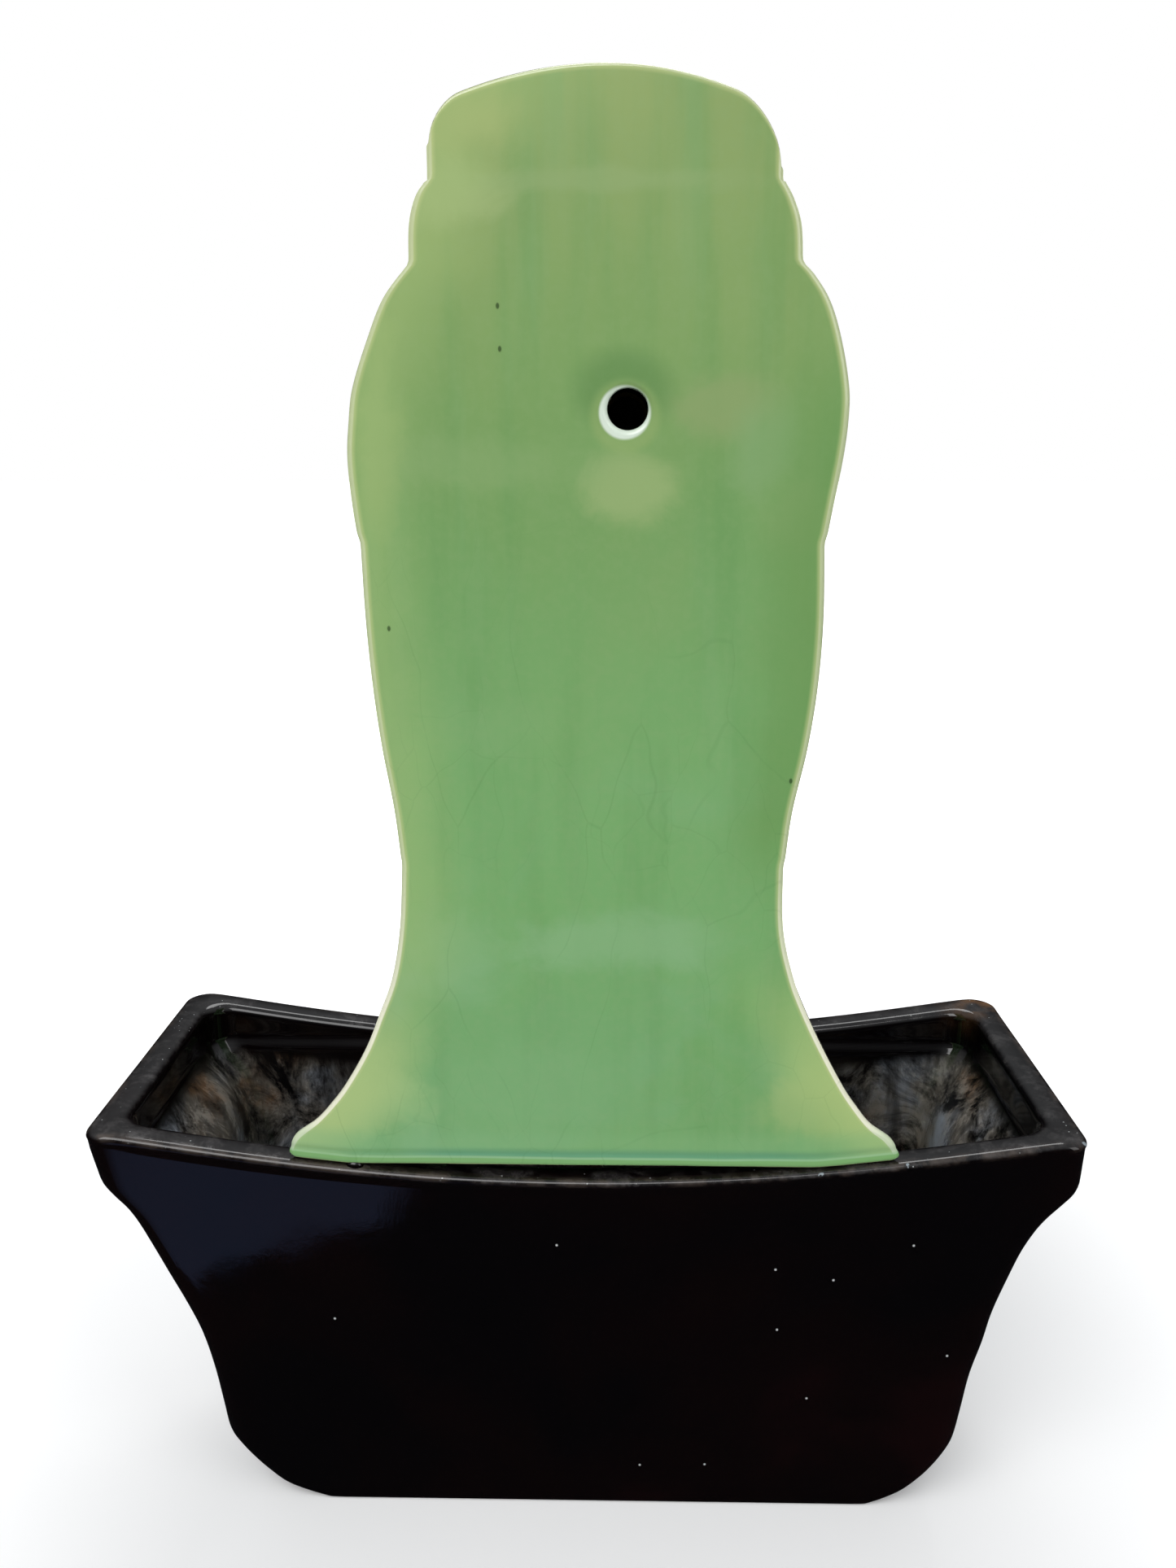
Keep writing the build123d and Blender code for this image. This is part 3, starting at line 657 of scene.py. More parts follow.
# ------------------------------------------------------------------ materials
class Nodes:
    """A node tree, with short names for the nodes that it is made of."""

    def __init__(self, tree, coordinates):
        self.tree = tree
        self.tree.nodes.clear()
        self.place = self.tree.nodes.new("ShaderNodeTexCoord").outputs[coordinates]
        split = self.tree.nodes.new("ShaderNodeSeparateXYZ")
        self.tree.links.new(self.place, split.inputs[0])
        self.x, self.y, self.z = split.outputs

    def put(self, socket, value):
        if isinstance(value, bpy.types.NodeSocket):
            self.tree.links.new(value, socket)
        elif isinstance(value, (tuple, list)) and len(value) == 3 and len(socket.default_value) == 4:
            socket.default_value = (*value, 1.0)
        else:
            socket.default_value = value

    def calc(self, operation, a, b=0.0, c=0.0, limit=False):
        node = self.tree.nodes.new("ShaderNodeMath")
        node.operation = operation
        node.use_clamp = limit
        for socket, value in zip(node.inputs, (a, b, c)):
            self.put(socket, value)
        return node.outputs[0]

    def fit(self, value, low, high, to_low=0.0, to_high=1.0):
        """value from low..high to to_low..to_high, eased at both ends."""
        node = self.tree.nodes.new("ShaderNodeMapRange")
        node.interpolation_type = "SMOOTHSTEP"
        for name, number in (("From Min", low), ("From Max", high), ("To Min", to_low), ("To Max", to_high)):
            node.inputs[name].default_value = number
        self.put(node.inputs["Value"], value)
        return node.outputs[0]

    def mix(self, factor, a, b):
        node = self.tree.nodes.new("ShaderNodeMix")
        node.data_type = "RGBA"
        self.put(node.inputs[0], factor)
        self.put(node.inputs[6], a)
        self.put(node.inputs[7], b)
        return node.outputs[2]

    def ramp(self, value, stops):
        node = self.tree.nodes.new("ShaderNodeValToRGB")
        node.color_ramp.interpolation = "B_SPLINE" if len(stops) > 3 else "EASE"
        while len(node.color_ramp.elements) < len(stops):
            node.color_ramp.elements.new(0.5)
        for element, (position, colour) in zip(node.color_ramp.elements, stops):
            element.position = position
            element.color = (*colour, 1.0)
        self.put(node.inputs[0], value)
        return node.outputs[0]

    def stretched(self, x, y, z, place=None):
        node = self.tree.nodes.new("ShaderNodeMapping")
        node.inputs["Scale"].default_value = (x, y, z)
        self.put(node.inputs[0], place or self.place)
        return node.outputs[0]

    def noise(self, scale, detail=3.0, rough=0.5, twist=0.0, place=None):
        node = self.tree.nodes.new("ShaderNodeTexNoise")
        node.inputs["Scale"].default_value = scale
        node.inputs["Detail"].default_value = detail
        node.inputs["Roughness"].default_value = rough
        node.inputs["Distortion"].default_value = twist
        self.put(node.inputs["Vector"], place or self.place)
        return node.outputs["Fac"]

    def bent(self, amount, scale):
        """Coordinates pushed about by noise, in metres."""
        node = self.tree.nodes.new("ShaderNodeTexNoise")
        node.inputs["Scale"].default_value = scale
        self.put(node.inputs["Vector"], self.place)
        push = self.tree.nodes.new("ShaderNodeVectorMath")
        push.operation = "MULTIPLY_ADD"
        self.put(push.inputs[0], node.outputs["Color"])
        push.inputs[1].default_value = (amount, amount, amount)
        self.put(push.inputs[2], self.place)
        return push.outputs[0]

    def cells(self, scale, feature="F1", output="Distance", place=None):
        node = self.tree.nodes.new("ShaderNodeTexVoronoi")
        node.feature = feature
        node.inputs["Scale"].default_value = scale
        self.put(node.inputs["Vector"], place or self.place)
        return node.outputs[output]

    def stored(self, name):
        node = self.tree.nodes.new("ShaderNodeAttribute")
        node.attribute_name = name
        return node.outputs["Fac"]

    def reach(self, x, z, grow_x=1.0, grow_z=1.0):
        """Distance in the XZ plane from a point given in millimetres, in metres."""
        dx = self.calc("MULTIPLY", self.calc("SUBTRACT", self.x, x * MM), 1 / grow_x)
        dz = self.calc("MULTIPLY", self.calc("SUBTRACT", self.z, z * MM), 1 / grow_z)
        square = self.calc("ADD", self.calc("MULTIPLY", dx, dx), self.calc("MULTIPLY", dz, dz))
        return self.calc("SQRT", square)


class Paint(Nodes):
    """One material with a single shader."""

    def __init__(self, name, roughness=0.4, metallic=0.0, ior=1.5, specular=0.5):
        self.material = bpy.data.materials.new(name)
        self.material.use_nodes = True
        super().__init__(self.material.node_tree, "Object")
        self.shader = self.tree.nodes.new("ShaderNodeBsdfPrincipled")
        self.shader.inputs["Roughness"].default_value = roughness
        self.shader.inputs["Metallic"].default_value = metallic
        self.shader.inputs["IOR"].default_value = ior
        self.shader.inputs["Specular IOR Level"].default_value = specular
        out = self.tree.nodes.new("ShaderNodeOutputMaterial")
        self.tree.links.new(self.shader.outputs[0], out.inputs["Surface"])
        self.normal = None

    def set(self, name, value):
        self.put(self.shader.inputs[name], value)

    def bump(self, height, depth, strength=1.0):
        """Adds relief: height is 0 to 1 and depth is in millimetres."""
        node = self.tree.nodes.new("ShaderNodeBump")
        node.inputs["Strength"].default_value = strength
        node.inputs["Distance"].default_value = depth * MM
        self.put(node.inputs["Height"], height)
        if self.normal:
            self.put(node.inputs["Normal"], self.normal)
        self.normal = node.outputs[0]
        self.put(self.shader.inputs["Normal"], self.normal)


def green_glaze():
    """Jade crackle glaze over white clay: olive at the top and edges, cooler below."""
    p = Paint("jade_crackle_glaze", roughness=0.07)
    p.set("Coat Weight", 0.35)
    p.set("Coat Roughness", 0.04)
    height = p.calc("MULTIPLY", p.calc("SUBTRACT", p.z, 0.138), 1 / 0.3)
    cloud = p.noise(14, 3, 0.5, 0.6)
    height = p.calc("ADD", height, p.calc("MULTIPLY", p.calc("SUBTRACT", cloud, 0.5), 0.22), limit=True)
    base = p.ramp(height, [
        (0.0, (0.215, 0.450, 0.180)), (0.15, (0.192, 0.420, 0.148)), (0.32, (0.212, 0.455, 0.172)),
        (0.50, (0.206, 0.425, 0.155)), (0.66, (0.206, 0.380, 0.132)), (0.82, (0.245, 0.400, 0.140)),
        (1.0, (0.335, 0.430, 0.165))])
    # milky blue-green patches, mostly in the lower half
    patch = p.fit(p.noise(17, 4, 0.55, 0.9, p.stretched(1.0, 1.0, 0.8)), 0.50, 0.72)
    lower = p.fit(p.z, 0.30, 0.20)
    base = p.mix(p.calc("MULTIPLY", patch, p.calc("MULTIPLY", lower, 0.60)), base, (0.250, 0.480, 0.235))
    olive = p.fit(p.noise(11, 3, 0.5, 0.8, p.stretched(1.3, 1.0, 0.7)), 0.50, 0.70)
    upper = p.fit(p.z, 0.22, 0.36)
    base = p.mix(p.calc("MULTIPLY", olive, p.calc("MULTIPLY", upper, 0.45)), base, (0.285, 0.395, 0.150))
    # streaks where the glaze ran
    streak = p.noise(9, 3, 0.6, 0.0, p.stretched(9.0, 9.0, 0.9))
    base = p.mix(p.fit(streak, 0.42, 0.72, 0.0, 0.34), base, (0.135, 0.330, 0.105))
    pale = p.noise(12, 4, 0.6, 0.1, p.stretched(7.0, 7.0, 0.7))
    base = p.mix(p.fit(pale, 0.50, 0.74, 0.0, 0.24), base, (0.270, 0.470, 0.215))
    fine = p.noise(420, 2, 0.5)
    base = p.mix(p.fit(fine, 0.35, 0.75, 0.0, 0.14), base, (0.300, 0.450, 0.200))
    rear = p.fit(p.y, -0.040, -0.046)
    ragged = p.calc("MULTIPLY", p.calc("SUBTRACT", p.noise(48, 5, 0.62, 0.5), 0.5), 0.020)
    for x, z, across, up, amount, colour in PATCHES:
        away = p.calc("ADD", p.reach(x, z, across / 10, up / 10), ragged)
        here = p.calc("MULTIPLY", p.fit(away, 0.0140, 0.0040), rear)
        base = p.mix(p.calc("MULTIPLY", here, amount), base, colour)
    # thin glaze towards the outline: yellow, then nearly white on the very edge; with painted light on the
    # left edges and painted shade on the right ones
    edge = p.stored("edge_mm")
    near = p.calc("ADD", edge, p.calc("MULTIPLY", p.calc("SUBTRACT", p.noise(30, 2), 0.5), 12.0))
    # painted light: besides the skirt, the pale edge colour also reaches up the left edges as if lit, and
    # not up the shaded right ones
    skirt = p.calc("MAXIMUM", p.fit(p.z, 0.215, 0.160), p.fit(p.x, -0.03, 0.03, 0.40, 0.0))
    thin = p.calc("MULTIPLY", p.fit(near, 24.0, 1.0, 0.0, 0.95), skirt)
    base = p.mix(thin, base, (0.440, 0.590, 0.225))
    # painted shade: the right-hand edges are darkened as if in shadow, less so up towards the cap
    painted_shade_right = p.calc("MULTIPLY", p.fit(near, 24.0, 4.0), p.fit(p.x, 0.015, 0.050))
    painted_shade_right = p.calc("MULTIPLY", painted_shade_right, p.fit(p.z, 0.215, 0.250))
    painted_shade_right = p.calc("MULTIPLY", painted_shade_right, p.fit(p.z, 0.385, 0.330, 0.15, 1.0))
    base = p.mix(p.calc("MULTIPLY", painted_shade_right, 0.65), base, (0.165, 0.335, 0.100))
    base = p.mix(p.fit(edge, 2.0, 0.8, 0.0, 0.50), base, (0.60, 0.66, 0.30))
    bare = p.calc("MULTIPLY", p.fit(edge, 1.0, 0.5), p.fit(p.z, 0.245, 0.180, 0.30, 1.0))
    base = p.mix(bare, base, (0.93, 0.93, 0.72))
    groove = p.stored("groove")
    base = p.mix(p.fit(groove, 0.15, 0.9, 0.0, 0.6), base, (0.105, 0.285, 0.115))
    # bands along the lower edge: pooled glaze, a painted highlight line, a green band and a pale lip
    low = p.stored("low_mm")
    low = p.calc("ADD", low, p.calc("MULTIPLY", p.calc("SUBTRACT", p.noise(24, 2), 0.5), 1.1))
    middle = p.fit(p.calc("ABSOLUTE", p.calc("SUBTRACT", p.x, 0.010)), 0.072, 0.045, 0.30, 1.0)
    base = p.mix(p.fit(low, 14.0, 8.0, 0.0, 0.40), base, (0.255, 0.500, 0.225))
    base = p.mix(p.calc("MULTIPLY", p.fit(low, 7.0, 3.8, 0.0, 0.80), middle), base, (0.145, 0.385, 0.225))
    # painted highlight: a light line along the rounded lower edge
    base = p.mix(p.fit(low, 3.3, 2.8, 0.0, 0.70), base, (0.340, 0.560, 0.310))
    base = p.mix(p.fit(low, 2.6, 2.2, 0.0, 0.95), base, (0.215, 0.440, 0.160))
    base = p.mix(p.fit(low, 0.8, 0.3, 0.0, 0.95), base, (0.560, 0.640, 0.330))
    # round the port: painted shadow above, pale below, white clay on the rolled mouth
    # painted shadow: a darker green patch over the port's upper side
    above = p.calc("MULTIPLY", p.fit(p.reach(PORT_X - 1, PORT_Z + 4.5, 1.25, 1.0), 0.0135, 0.006), rear)
    base = p.mix(p.calc("MULTIPLY", above, 0.55), base, (0.120, 0.265, 0.085))
    halo = p.calc("MULTIPLY", p.fit(p.reach(PORT_X - 0.6, PORT_Z - 2.0), 0.0105, 0.0075), rear)
    base = p.mix(p.calc("MULTIPLY", halo, 0.45), base, (0.350, 0.480, 0.180))
    ring = p.calc("MULTIPLY", p.fit(p.reach(PORT_X - 0.75, PORT_Z - 0.95), 0.0071, 0.0062), rear)
    base = p.mix(p.calc("MULTIPLY", ring, 0.95), base, (0.78, 0.88, 0.76))
    # crazing: long wandering hairlines with finer ones between
    wide = p.stretched(1.0, 1.0, 0.36, p.bent(0.020, 20))
    lines = p.fit(p.cells(33, "DISTANCE_TO_EDGE", place=wide), 0.0075, 0.0015)
    narrow = p.stretched(1.0, 1.0, 0.50, p.bent(0.012, 34))
    hairs = p.fit(p.cells(66, "DISTANCE_TO_EDGE", place=narrow), 0.0110, 0.0025)
    kept = p.fit(p.noise(14, 2), 0.44, 0.58)
    gone = p.fit(p.noise(19, 2, 0.5, 0.0, p.stretched(1.0, 1.0, 1.4)), 0.40, 0.60)
    shown = p.fit(p.z, 0.36, 0.28, 0.05, 1.0)
    craze = p.calc("ADD", p.calc("MULTIPLY", p.calc("MULTIPLY", lines, gone), 0.7),
                   p.calc("MULTIPLY", p.calc("MULTIPLY", hairs, kept), 0.45), limit=True)
    craze = p.calc("MULTIPLY", craze, shown)
    base = p.mix(p.calc("MULTIPLY", craze, 0.20), base, (0.070, 0.200, 0.060))
    # pinholes
    for x, z in PINHOLES:
        hole = p.calc("MULTIPLY", p.fit(p.reach(x, z, 1.0, 1.6), 0.0006, 0.0003), rear)
        base = p.mix(p.calc("MULTIPLY", hole, 0.8), base, (0.030, 0.060, 0.020))
    p.set("Base Color", base)
    p.set("Roughness", p.fit(p.noise(60, 3), 0.3, 0.8, 0.05, 0.12))
    p.bump(p.noise(9, 2, 0.4), 0.9, 0.6)
    p.bump(p.noise(190, 3, 0.5), 0.018, 0.6)
    p.bump(craze, -0.02, 0.5)
    return p.material


def black_glaze():
    """Mirror-black glaze, brown where it is thin, with scale left by water on the inside, made stronger
    towards the end walls as painted light.
    """
    p = Paint("black_mirror_glaze", roughness=0.05)
    tint = p.noise(12, 3, 0.5, 0.5)
    base = p.ramp(tint, [(0.35, (0.0016, 0.0012, 0.0016)), (0.55, (0.0030, 0.0014, 0.0016)),
                         (0.75, (0.0075, 0.0022, 0.0026))])
    # brown break on the edges, strongest at the far right corner
    edge = p.stored("edge")
    worn = p.calc("MULTIPLY", edge, p.fit(p.noise(90, 4, 0.65), 0.40, 0.62))
    base = p.mix(p.calc("MULTIPLY", worn, 0.55), base, (0.110, 0.085, 0.070))
    corner = p.calc("MULTIPLY", p.fit(p.x, 0.128, 0.150), p.fit(p.y, 0.030, 0.050))
    corner = p.calc("MULTIPLY", corner, p.fit(p.noise(120, 3), 0.35, 0.6))
    corner = p.calc("MULTIPLY", corner, p.fit(p.z, 0.136, 0.146))
    base = p.mix(p.calc("MULTIPLY", corner, 0.8), base, (0.200, 0.095, 0.035))
    # dust and fine speckle on the rim's top
    top = p.fit(p.stored("rim"), 0.4, 0.9)
    dust = p.fit(p.noise(95, 6, 0.75, 0.4), 0.44, 0.72)
    base = p.mix(p.calc("MULTIPLY", p.calc("MULTIPLY", top, dust), 0.13), base, (0.32, 0.30, 0.30))
    grains = p.fit(p.cells(520), 0.16, 0.06)
    pick = p.fit(p.cells(520, output="Color"), 0.72, 0.80)
    grains = p.calc("MULTIPLY", p.calc("MULTIPLY", grains, pick), top)
    base = p.mix(p.calc("MULTIPLY", grains, 0.7), base, (0.55, 0.58, 0.58))
    # a few white specks on the near face
    near = p.fit(p.y, -0.030, -0.034)
    for x, z in SPECKS:
        speck = p.calc("MULTIPLY", p.fit(p.reach(x, z, 1.0, 1.15), 0.00048, 0.00024), near)
        base = p.mix(speck, base, (0.55, 0.57, 0.57))
    # chips in the rim
    for x, y, z, size in CHIPS:
        here = p.tree.nodes.new("ShaderNodeVectorMath")
        here.operation = "DISTANCE"
        p.put(here.inputs[0], p.bent(0.0024, 800))
        here.inputs[1].default_value = (x * MM + 0.0012, y * MM + 0.0012, z * MM + 0.0012)
        chip = p.fit(here.outputs["Value"], size * MM, size * MM * 0.7)
        base = p.mix(p.calc("MULTIPLY", chip, 0.7), base, (0.38, 0.44, 0.48))
    # mineral scale inside, partly painted light: it is stronger and brighter towards the end walls, as if
    # they were lit
    inside = p.stored("inside")
    mottled = p.noise(38, 8, 0.74, 1.1, p.stretched(1.0, 1.0, 0.6))
    scale = p.calc("MULTIPLY", p.fit(mottled, 0.38, 0.62), inside)
    runs = p.noise(34, 5, 0.65, 0.3, p.stretched(3.5, 3.5, 0.5))
    scale = p.calc("MULTIPLY", scale, p.fit(runs, 0.32, 0.58, 0.30, 1.0))
    # painted light: the scale grows stronger towards the inner end walls, as if they were lit
    scale = p.calc("MULTIPLY", scale, p.fit(p.calc("ABSOLUTE", p.x), 0.080, 0.118, 0.22, 1.0))
    tone = p.ramp(p.noise(30, 4, 0.6), [(0.32, (0.330, 0.180, 0.095)), (0.50, (0.300, 0.265, 0.230)),
                                        (0.68, (0.400, 0.430, 0.500))])
    base = p.mix(p.calc("MULTIPLY", scale, 0.90), base, tone)
    crust = p.fit(p.noise(210, 5, 0.75, 0.6), 0.58, 0.70)
    flakes = p.calc("MULTIPLY", crust, scale)
    base = p.mix(p.calc("MULTIPLY", flakes, 0.75), base, (0.46, 0.44, 0.40))
    p.set("Base Color", base)
    rough = p.fit(p.noise(45, 3), 0.3, 0.75, 0.012, 0.035)
    rough = p.calc("ADD", rough, p.calc("MULTIPLY", scale, 0.42))
    rough = p.calc("ADD", rough, p.calc("MULTIPLY", p.calc("MULTIPLY", top, dust), 0.25))
    p.set("Roughness", rough)
    p.bump(p.noise(16, 2, 0.4), 0.10, 0.6)
    p.bump(p.noise(260, 3, 0.5), 0.006, 0.6)
    p.bump(p.calc("MULTIPLY", mottled, p.calc("ADD", inside, 0.15)), 0.35, 0.6)
    return p.material


def vinyl():
    """Clear tube gone slightly yellow, with a green film of algae."""
    p = Paint("clear_vinyl_tube", roughness=0.16, ior=1.48)
    film = p.fit(p.noise(70, 4, 0.6, 0.5, p.stretched(1, 1, 0.35)), 0.42, 0.70)
    p.set("Base Color", p.mix(film, (0.62, 0.62, 0.52), (0.22, 0.27, 0.13)))
    p.set("Transmission Weight", 0.75)
    p.set("Roughness", p.fit(p.noise(120, 3), 0.3, 0.7, 0.10, 0.30))
    p.bump(p.noise(300, 2), 0.03, 0.5)
    return p.material


def worn(name, light, dark, roughness, scale=60.0, metallic=0.0, dirt=(0.30, 0.28, 0.24),
         dirt_amount=0.20, grain=0.03, stripe=None):
    """A solid finish with two tones, a film of lime from the water, and a fine grain.
    stripe is (axis, pitch in millimetres, colour) for laminations or turns of wire."""
    p = Paint(name, roughness, metallic)
    base = p.mix(p.fit(p.noise(scale, 4, 0.6, 0.4), 0.35, 0.70), light, dark)
    film = p.fit(p.noise(scale * 0.4, 6, 0.68, 0.8), 0.47, 0.72)
    base = p.mix(p.calc("MULTIPLY", film, dirt_amount), base, dirt)
    scuff = p.fit(p.noise(scale * 2.0, 5, 0.7, 0.0, p.stretched(6.0, 1.0, 1.0)), 0.60, 0.74)
    base = p.mix(p.calc("MULTIPLY", scuff, 0.22), base, light)
    if stripe:
        axis, pitch, colour = stripe
        wave = p.calc("SINE", p.calc("MULTIPLY", getattr(p, axis), 2 * math.pi / (pitch * MM)))
        line = p.fit(wave, 0.35, 0.95)
        base = p.mix(p.calc("MULTIPLY", line, 0.75), base, colour)
        p.bump(line, -0.12 * pitch, 0.8)
    p.set("Base Color", base)
    rough = p.fit(p.noise(scale * 1.3, 3), 0.3, 0.75, roughness - 0.07, roughness + 0.10)
    p.set("Roughness", p.calc("ADD", rough, p.calc("MULTIPLY", film, 0.18), limit=True))
    p.bump(p.noise(900, 2, 0.5), grain, 0.7)
    p.bump(film, 0.03, 0.5)
    return p.material


def foam():
    """Open-cell filter foam, browned at the bottom where the dirt collects."""
    p = Paint("filter_foam", roughness=0.95)
    pores = p.fit(p.cells(620), 0.25, 0.62)
    base = p.mix(pores, (0.020, 0.021, 0.022), (0.125, 0.130, 0.135))
    dirt = p.calc("MULTIPLY", p.fit(p.z, 0.050, 0.012), p.fit(p.noise(60, 4, 0.6), 0.35, 0.65))
    p.set("Base Color", p.mix(p.calc("MULTIPLY", dirt, 0.6), base, (0.120, 0.090, 0.050)))
    p.bump(pores, 0.5, 1.0)
    p.bump(p.noise(90, 3), 0.4, 0.6)
    return p.material


BLACK = black_glaze()
GREEN = green_glaze()
FINISHES = {
    "clear_vinyl": vinyl(),
    "black_plastic": worn("black_abs", (0.030, 0.030, 0.032), (0.018, 0.018, 0.020), 0.42, 80),
    "brass": worn("aged_brass", (0.74, 0.52, 0.20), (0.50, 0.33, 0.13), 0.27, 110, 1.0,
                  (0.16, 0.25, 0.18), 0.45, 0.012),
    "rubber": worn("black_rubber", (0.038, 0.037, 0.036), (0.022, 0.021, 0.021), 0.68, 90, grain=0.05),
    "lamination": worn("core_laminations", (0.44, 0.44, 0.45), (0.30, 0.29, 0.28), 0.38, 90, 1.0,
                       (0.24, 0.11, 0.05), 0.45, stripe=("z", 0.5, (0.10, 0.09, 0.08))),
    "white_plastic": worn("white_nylon", (0.80, 0.79, 0.74), (0.70, 0.68, 0.60), 0.38, 70,
                          dirt=(0.36, 0.30, 0.20), dirt_amount=0.35),
    "copper_wire": worn("enamelled_copper", (0.66, 0.26, 0.10), (0.42, 0.13, 0.05), 0.30, 120, 1.0,
                        (0.20, 0.07, 0.03), 0.30, stripe=("x", 0.42, (0.13, 0.035, 0.015))),
    "epoxy": worn("potting_epoxy", (0.045, 0.038, 0.033), (0.025, 0.021, 0.019), 0.18, 50),
    "shaft_ceramic": worn("alumina", (0.87, 0.86, 0.83), (0.78, 0.76, 0.70), 0.24, 120, dirt_amount=0.12),
    "ferrite": worn("ferrite", (0.115, 0.115, 0.125), (0.070, 0.068, 0.070), 0.55, 160, grain=0.05),
    "grey_plastic": worn("grey_abs", (0.27, 0.28, 0.29), (0.20, 0.21, 0.22), 0.42, 80),
    "foam": foam(),
}

# ------------------------------------------------------------------ assembly
basin = make_basin()
add_value(basin, "edge", basin_edge_wear)
add_value(basin, "inside", basin_inside)
add_value(basin, "rim", basin_rim)
bead = make_bead()
upright = make_upright()
add_value(upright, "edge_mm", upright_edge)
add_value(upright, "low_mm", upright_low)
add_value(upright, "groove", upright_groove)
legs = [make_leg(name, x_low) for name, x_low in LEG_LEFT.items()]
for leg in legs:
    add_value(leg, "edge_mm", lambda p: 30.0)
    add_value(leg, "low_mm", lambda p: 40.0)
    add_value(leg, "groove", lambda p: 0.2)

for piece, body, node, slot, finish in [
        (basin, "basin", "basin", "black_glaze", BLACK), (bead, "basin", "basin", "black_glaze", BLACK),
        (upright, "upright", "upright", "green_glaze", GREEN),
        *[(leg, "upright", "upright", "green_glaze", GREEN) for leg in legs]]:
    piece.data.materials.clear()
    piece.data.materials.append(finish)
    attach(piece, body)
    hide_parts(node)

# the moulded, machined and wound parts keep their shape and gain small rounded edges
node_slot = {part["node"]: part["material_slot"] for part in frame["record"]["subparts"]}
for name, thing in frame["nodes"].items():
    if name in ("basin", "upright"):
        continue
    thing.data.materials.clear()
    thing.data.materials.append(FINISHES[node_slot[name]])
    weld = thing.modifiers.new("weld", "WELD")
    weld.merge_threshold = 1e-6
    low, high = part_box(name)
    bevel = thing.modifiers.new("round", "BEVEL")
    bevel.width = min(0.35 * MM, 0.05 * min(high - low))
    bevel.segments = 2
    bevel.limit_method = "ANGLE"
    bevel.angle_limit = math.radians(40)
    bevel.harden_normals = True

# ------------------------------------------------------------------ camera
lens = bpy.data.cameras.new("camera")
lens.sensor_width = 36.0
lens.lens = 28.245
lens.clip_start = 0.01
camera = new_object("camera", lens)
camera.location = (0.0074, -0.3813, 0.3454)
camera.rotation_euler = (math.radians(75.22), 0.0, math.radians(1.01))
bpy.context.scene.camera = camera


# ------------------------------------------------------------------ light and floor
def softbox(name, place, target, width, height, power):
    lamp = bpy.data.lights.new(name, "AREA")
    lamp.shape = "RECTANGLE"
    lamp.size = width
    lamp.size_y = height
    lamp.energy = power
    thing = new_object(name, lamp)
    thing.location = place
    thing.rotation_euler = (Vector(target) - Vector(place)).to_track_quat("-Z", "Y").to_euler()


softbox("key", (-0.7, -1.3, 1.9), (0.0, -0.05, 0.25), 1.6, 1.2, 26.0)
softbox("fill", (1.5, -1.2, 1.1), (0.0, 0.0, 0.25), 1.0, 1.4, 8.0)
softbox("back", (0.2, 1.5, 2.5), (0.0, 0.0, 0.15), 1.5, 0.8, 17.0)


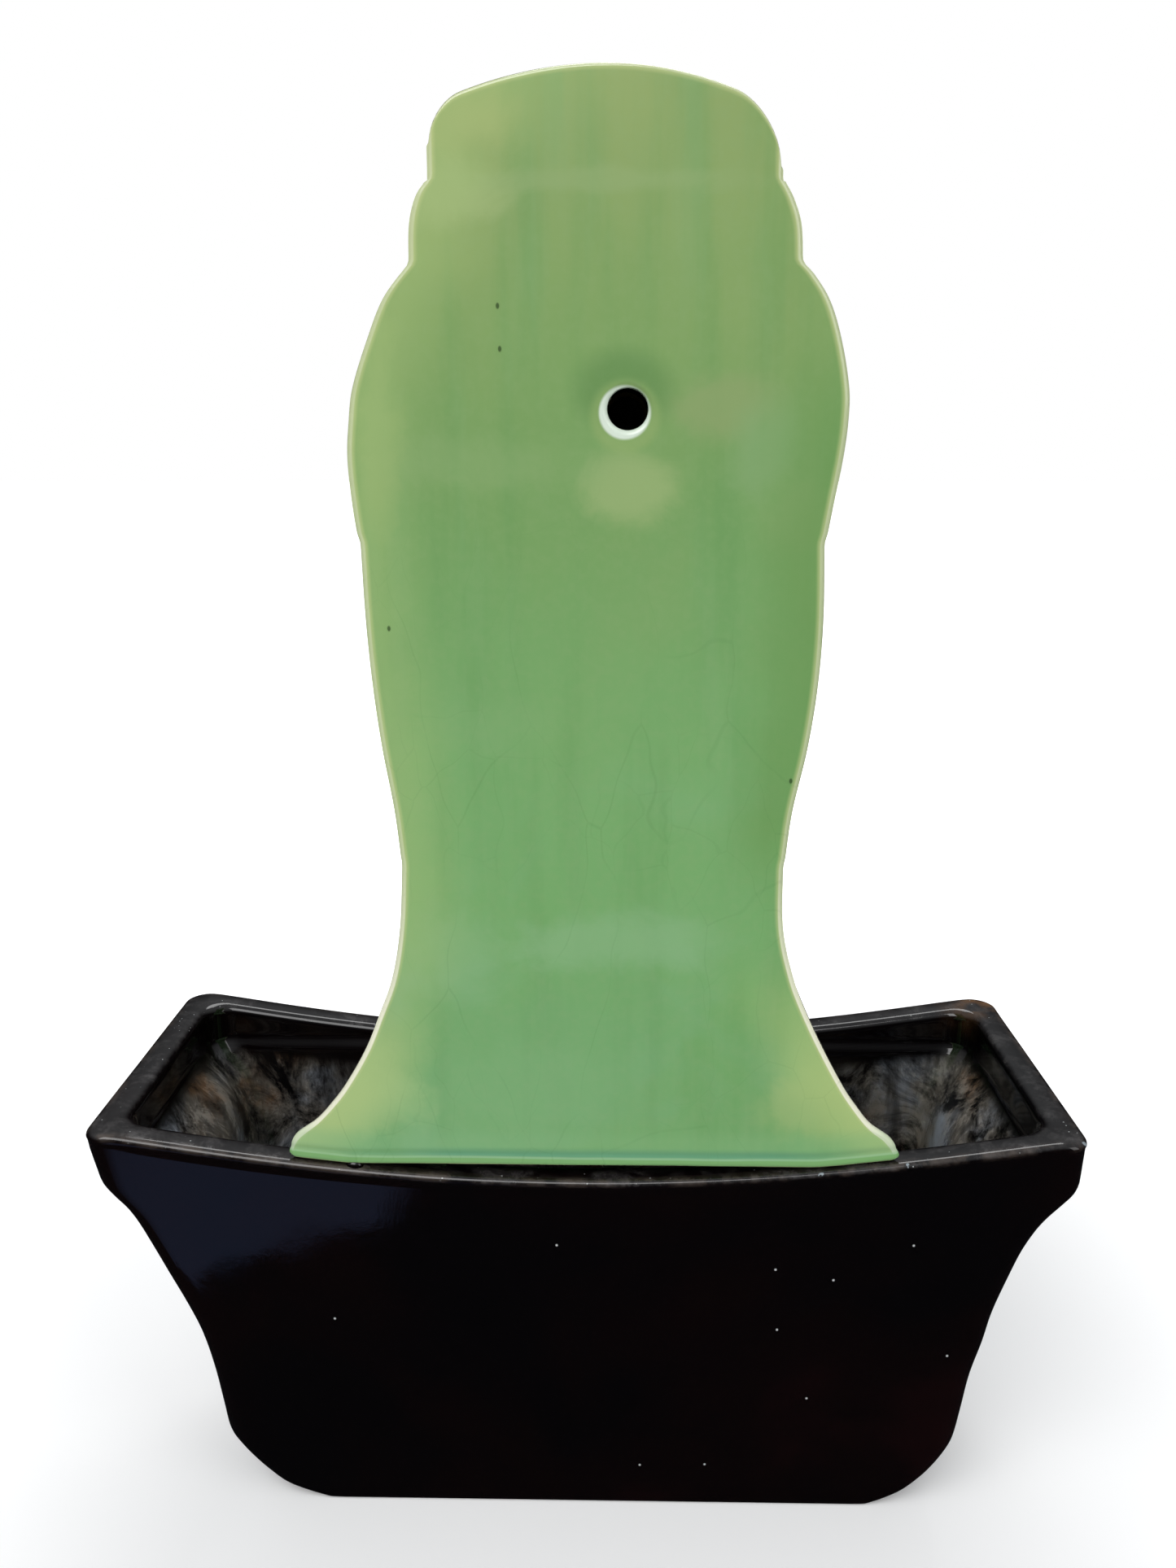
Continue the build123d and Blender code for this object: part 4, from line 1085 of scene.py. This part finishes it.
class Sky(Nodes):
    """The studio that lights the piece; the camera itself sees plain white."""

    def __init__(self):
        world = bpy.data.worlds.new("studio")
        bpy.context.scene.world = world
        world.use_nodes = True
        super().__init__(world.node_tree, "Generated")

    def ragged(self, along, rough, amount):
        """Distance along a direction, made uneven by noise."""
        slope = self.tree.nodes.new("ShaderNodeVectorMath")
        slope.operation = "DOT_PRODUCT"
        self.put(slope.inputs[0], self.place)
        slope.inputs[1].default_value = along
        return self.calc("MULTIPLY_ADD", rough, amount, slope.outputs["Value"])

    def show(self, colour):
        seen = self.tree.nodes.new("ShaderNodeBackground")
        seen.inputs["Color"].default_value = (1.0, 1.0, 1.0, 1.0)
        lit = self.tree.nodes.new("ShaderNodeBackground")
        lit.inputs["Strength"].default_value = 0.55
        self.put(lit.inputs["Color"], colour)
        pick = self.tree.nodes.new("ShaderNodeMixShader")
        self.put(pick.inputs[0], self.tree.nodes.new("ShaderNodeLightPath").outputs["Is Camera Ray"])
        self.put(pick.inputs[1], lit.outputs[0])
        self.put(pick.inputs[2], seen.outputs[0])
        result = self.tree.nodes.new("ShaderNodeOutputWorld")
        self.put(result.inputs["Surface"], pick.outputs[0])


def make_sky():
    sky = Sky()
    # dark near the horizon and below it, so that black glaze reads black; bright overhead
    colour = sky.mix(sky.fit(sky.z, 0.12, 0.90), (0.020, 0.020, 0.022), (1.10, 1.13, 1.16))
    # a ragged blue patch low on the left, which the basin's near face mirrors
    rough = sky.noise(30, 6, 0.65)
    patch = sky.fit(sky.ragged((-0.06, 0.0, 1.0), rough, 0.024), -0.696, -0.693)
    for side in (sky.fit(sky.ragged((1.0, 0.0, -0.9), rough, 0.075), 0.512, 0.505),
                 sky.fit(sky.z, -0.35, -0.45), sky.fit(sky.y, -0.3, -0.45), sky.fit(sky.x, -0.46, -0.33)):
        patch = sky.calc("MULTIPLY", patch, side)
    sky.show(sky.mix(patch, colour, (0.22, 0.30, 0.58)))


def make_floor():
    """Pale paper, which glows to the camera further out so that no horizon shows."""
    mesh = bpy.data.meshes.new("floor")
    half = 20.0
    corners = [(-half, -half, 0), (half, -half, 0), (half, half, 0), (-half, half, 0)]
    mesh.from_pydata(corners, [], [(0, 1, 2, 3)])
    floor = new_object("floor", mesh)
    paper = Paint("paper_floor", roughness=0.9, specular=0.1)
    paper.set("Base Color", paper.mix(paper.noise(5, 2), (0.88, 0.88, 0.88), (0.92, 0.92, 0.92)))
    far = paper.tree.nodes.new("ShaderNodeVectorMath")
    far.operation = "LENGTH"
    paper.put(far.inputs[0], paper.place)
    glow = paper.fit(far.outputs["Value"], 0.15, 0.75, 0.16, 1.0)
    seen_only = paper.tree.nodes.new("ShaderNodeLightPath").outputs["Is Camera Ray"]
    paper.set("Emission Color", (1.0, 1.0, 1.0))
    paper.set("Emission Strength", paper.calc("MULTIPLY", glow, seen_only))
    mesh.materials.append(paper.material)
    floor.visible_glossy = False
    floor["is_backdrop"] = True


make_sky()
make_floor()
bpy.context.scene.view_settings.view_transform = "Standard"

low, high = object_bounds()
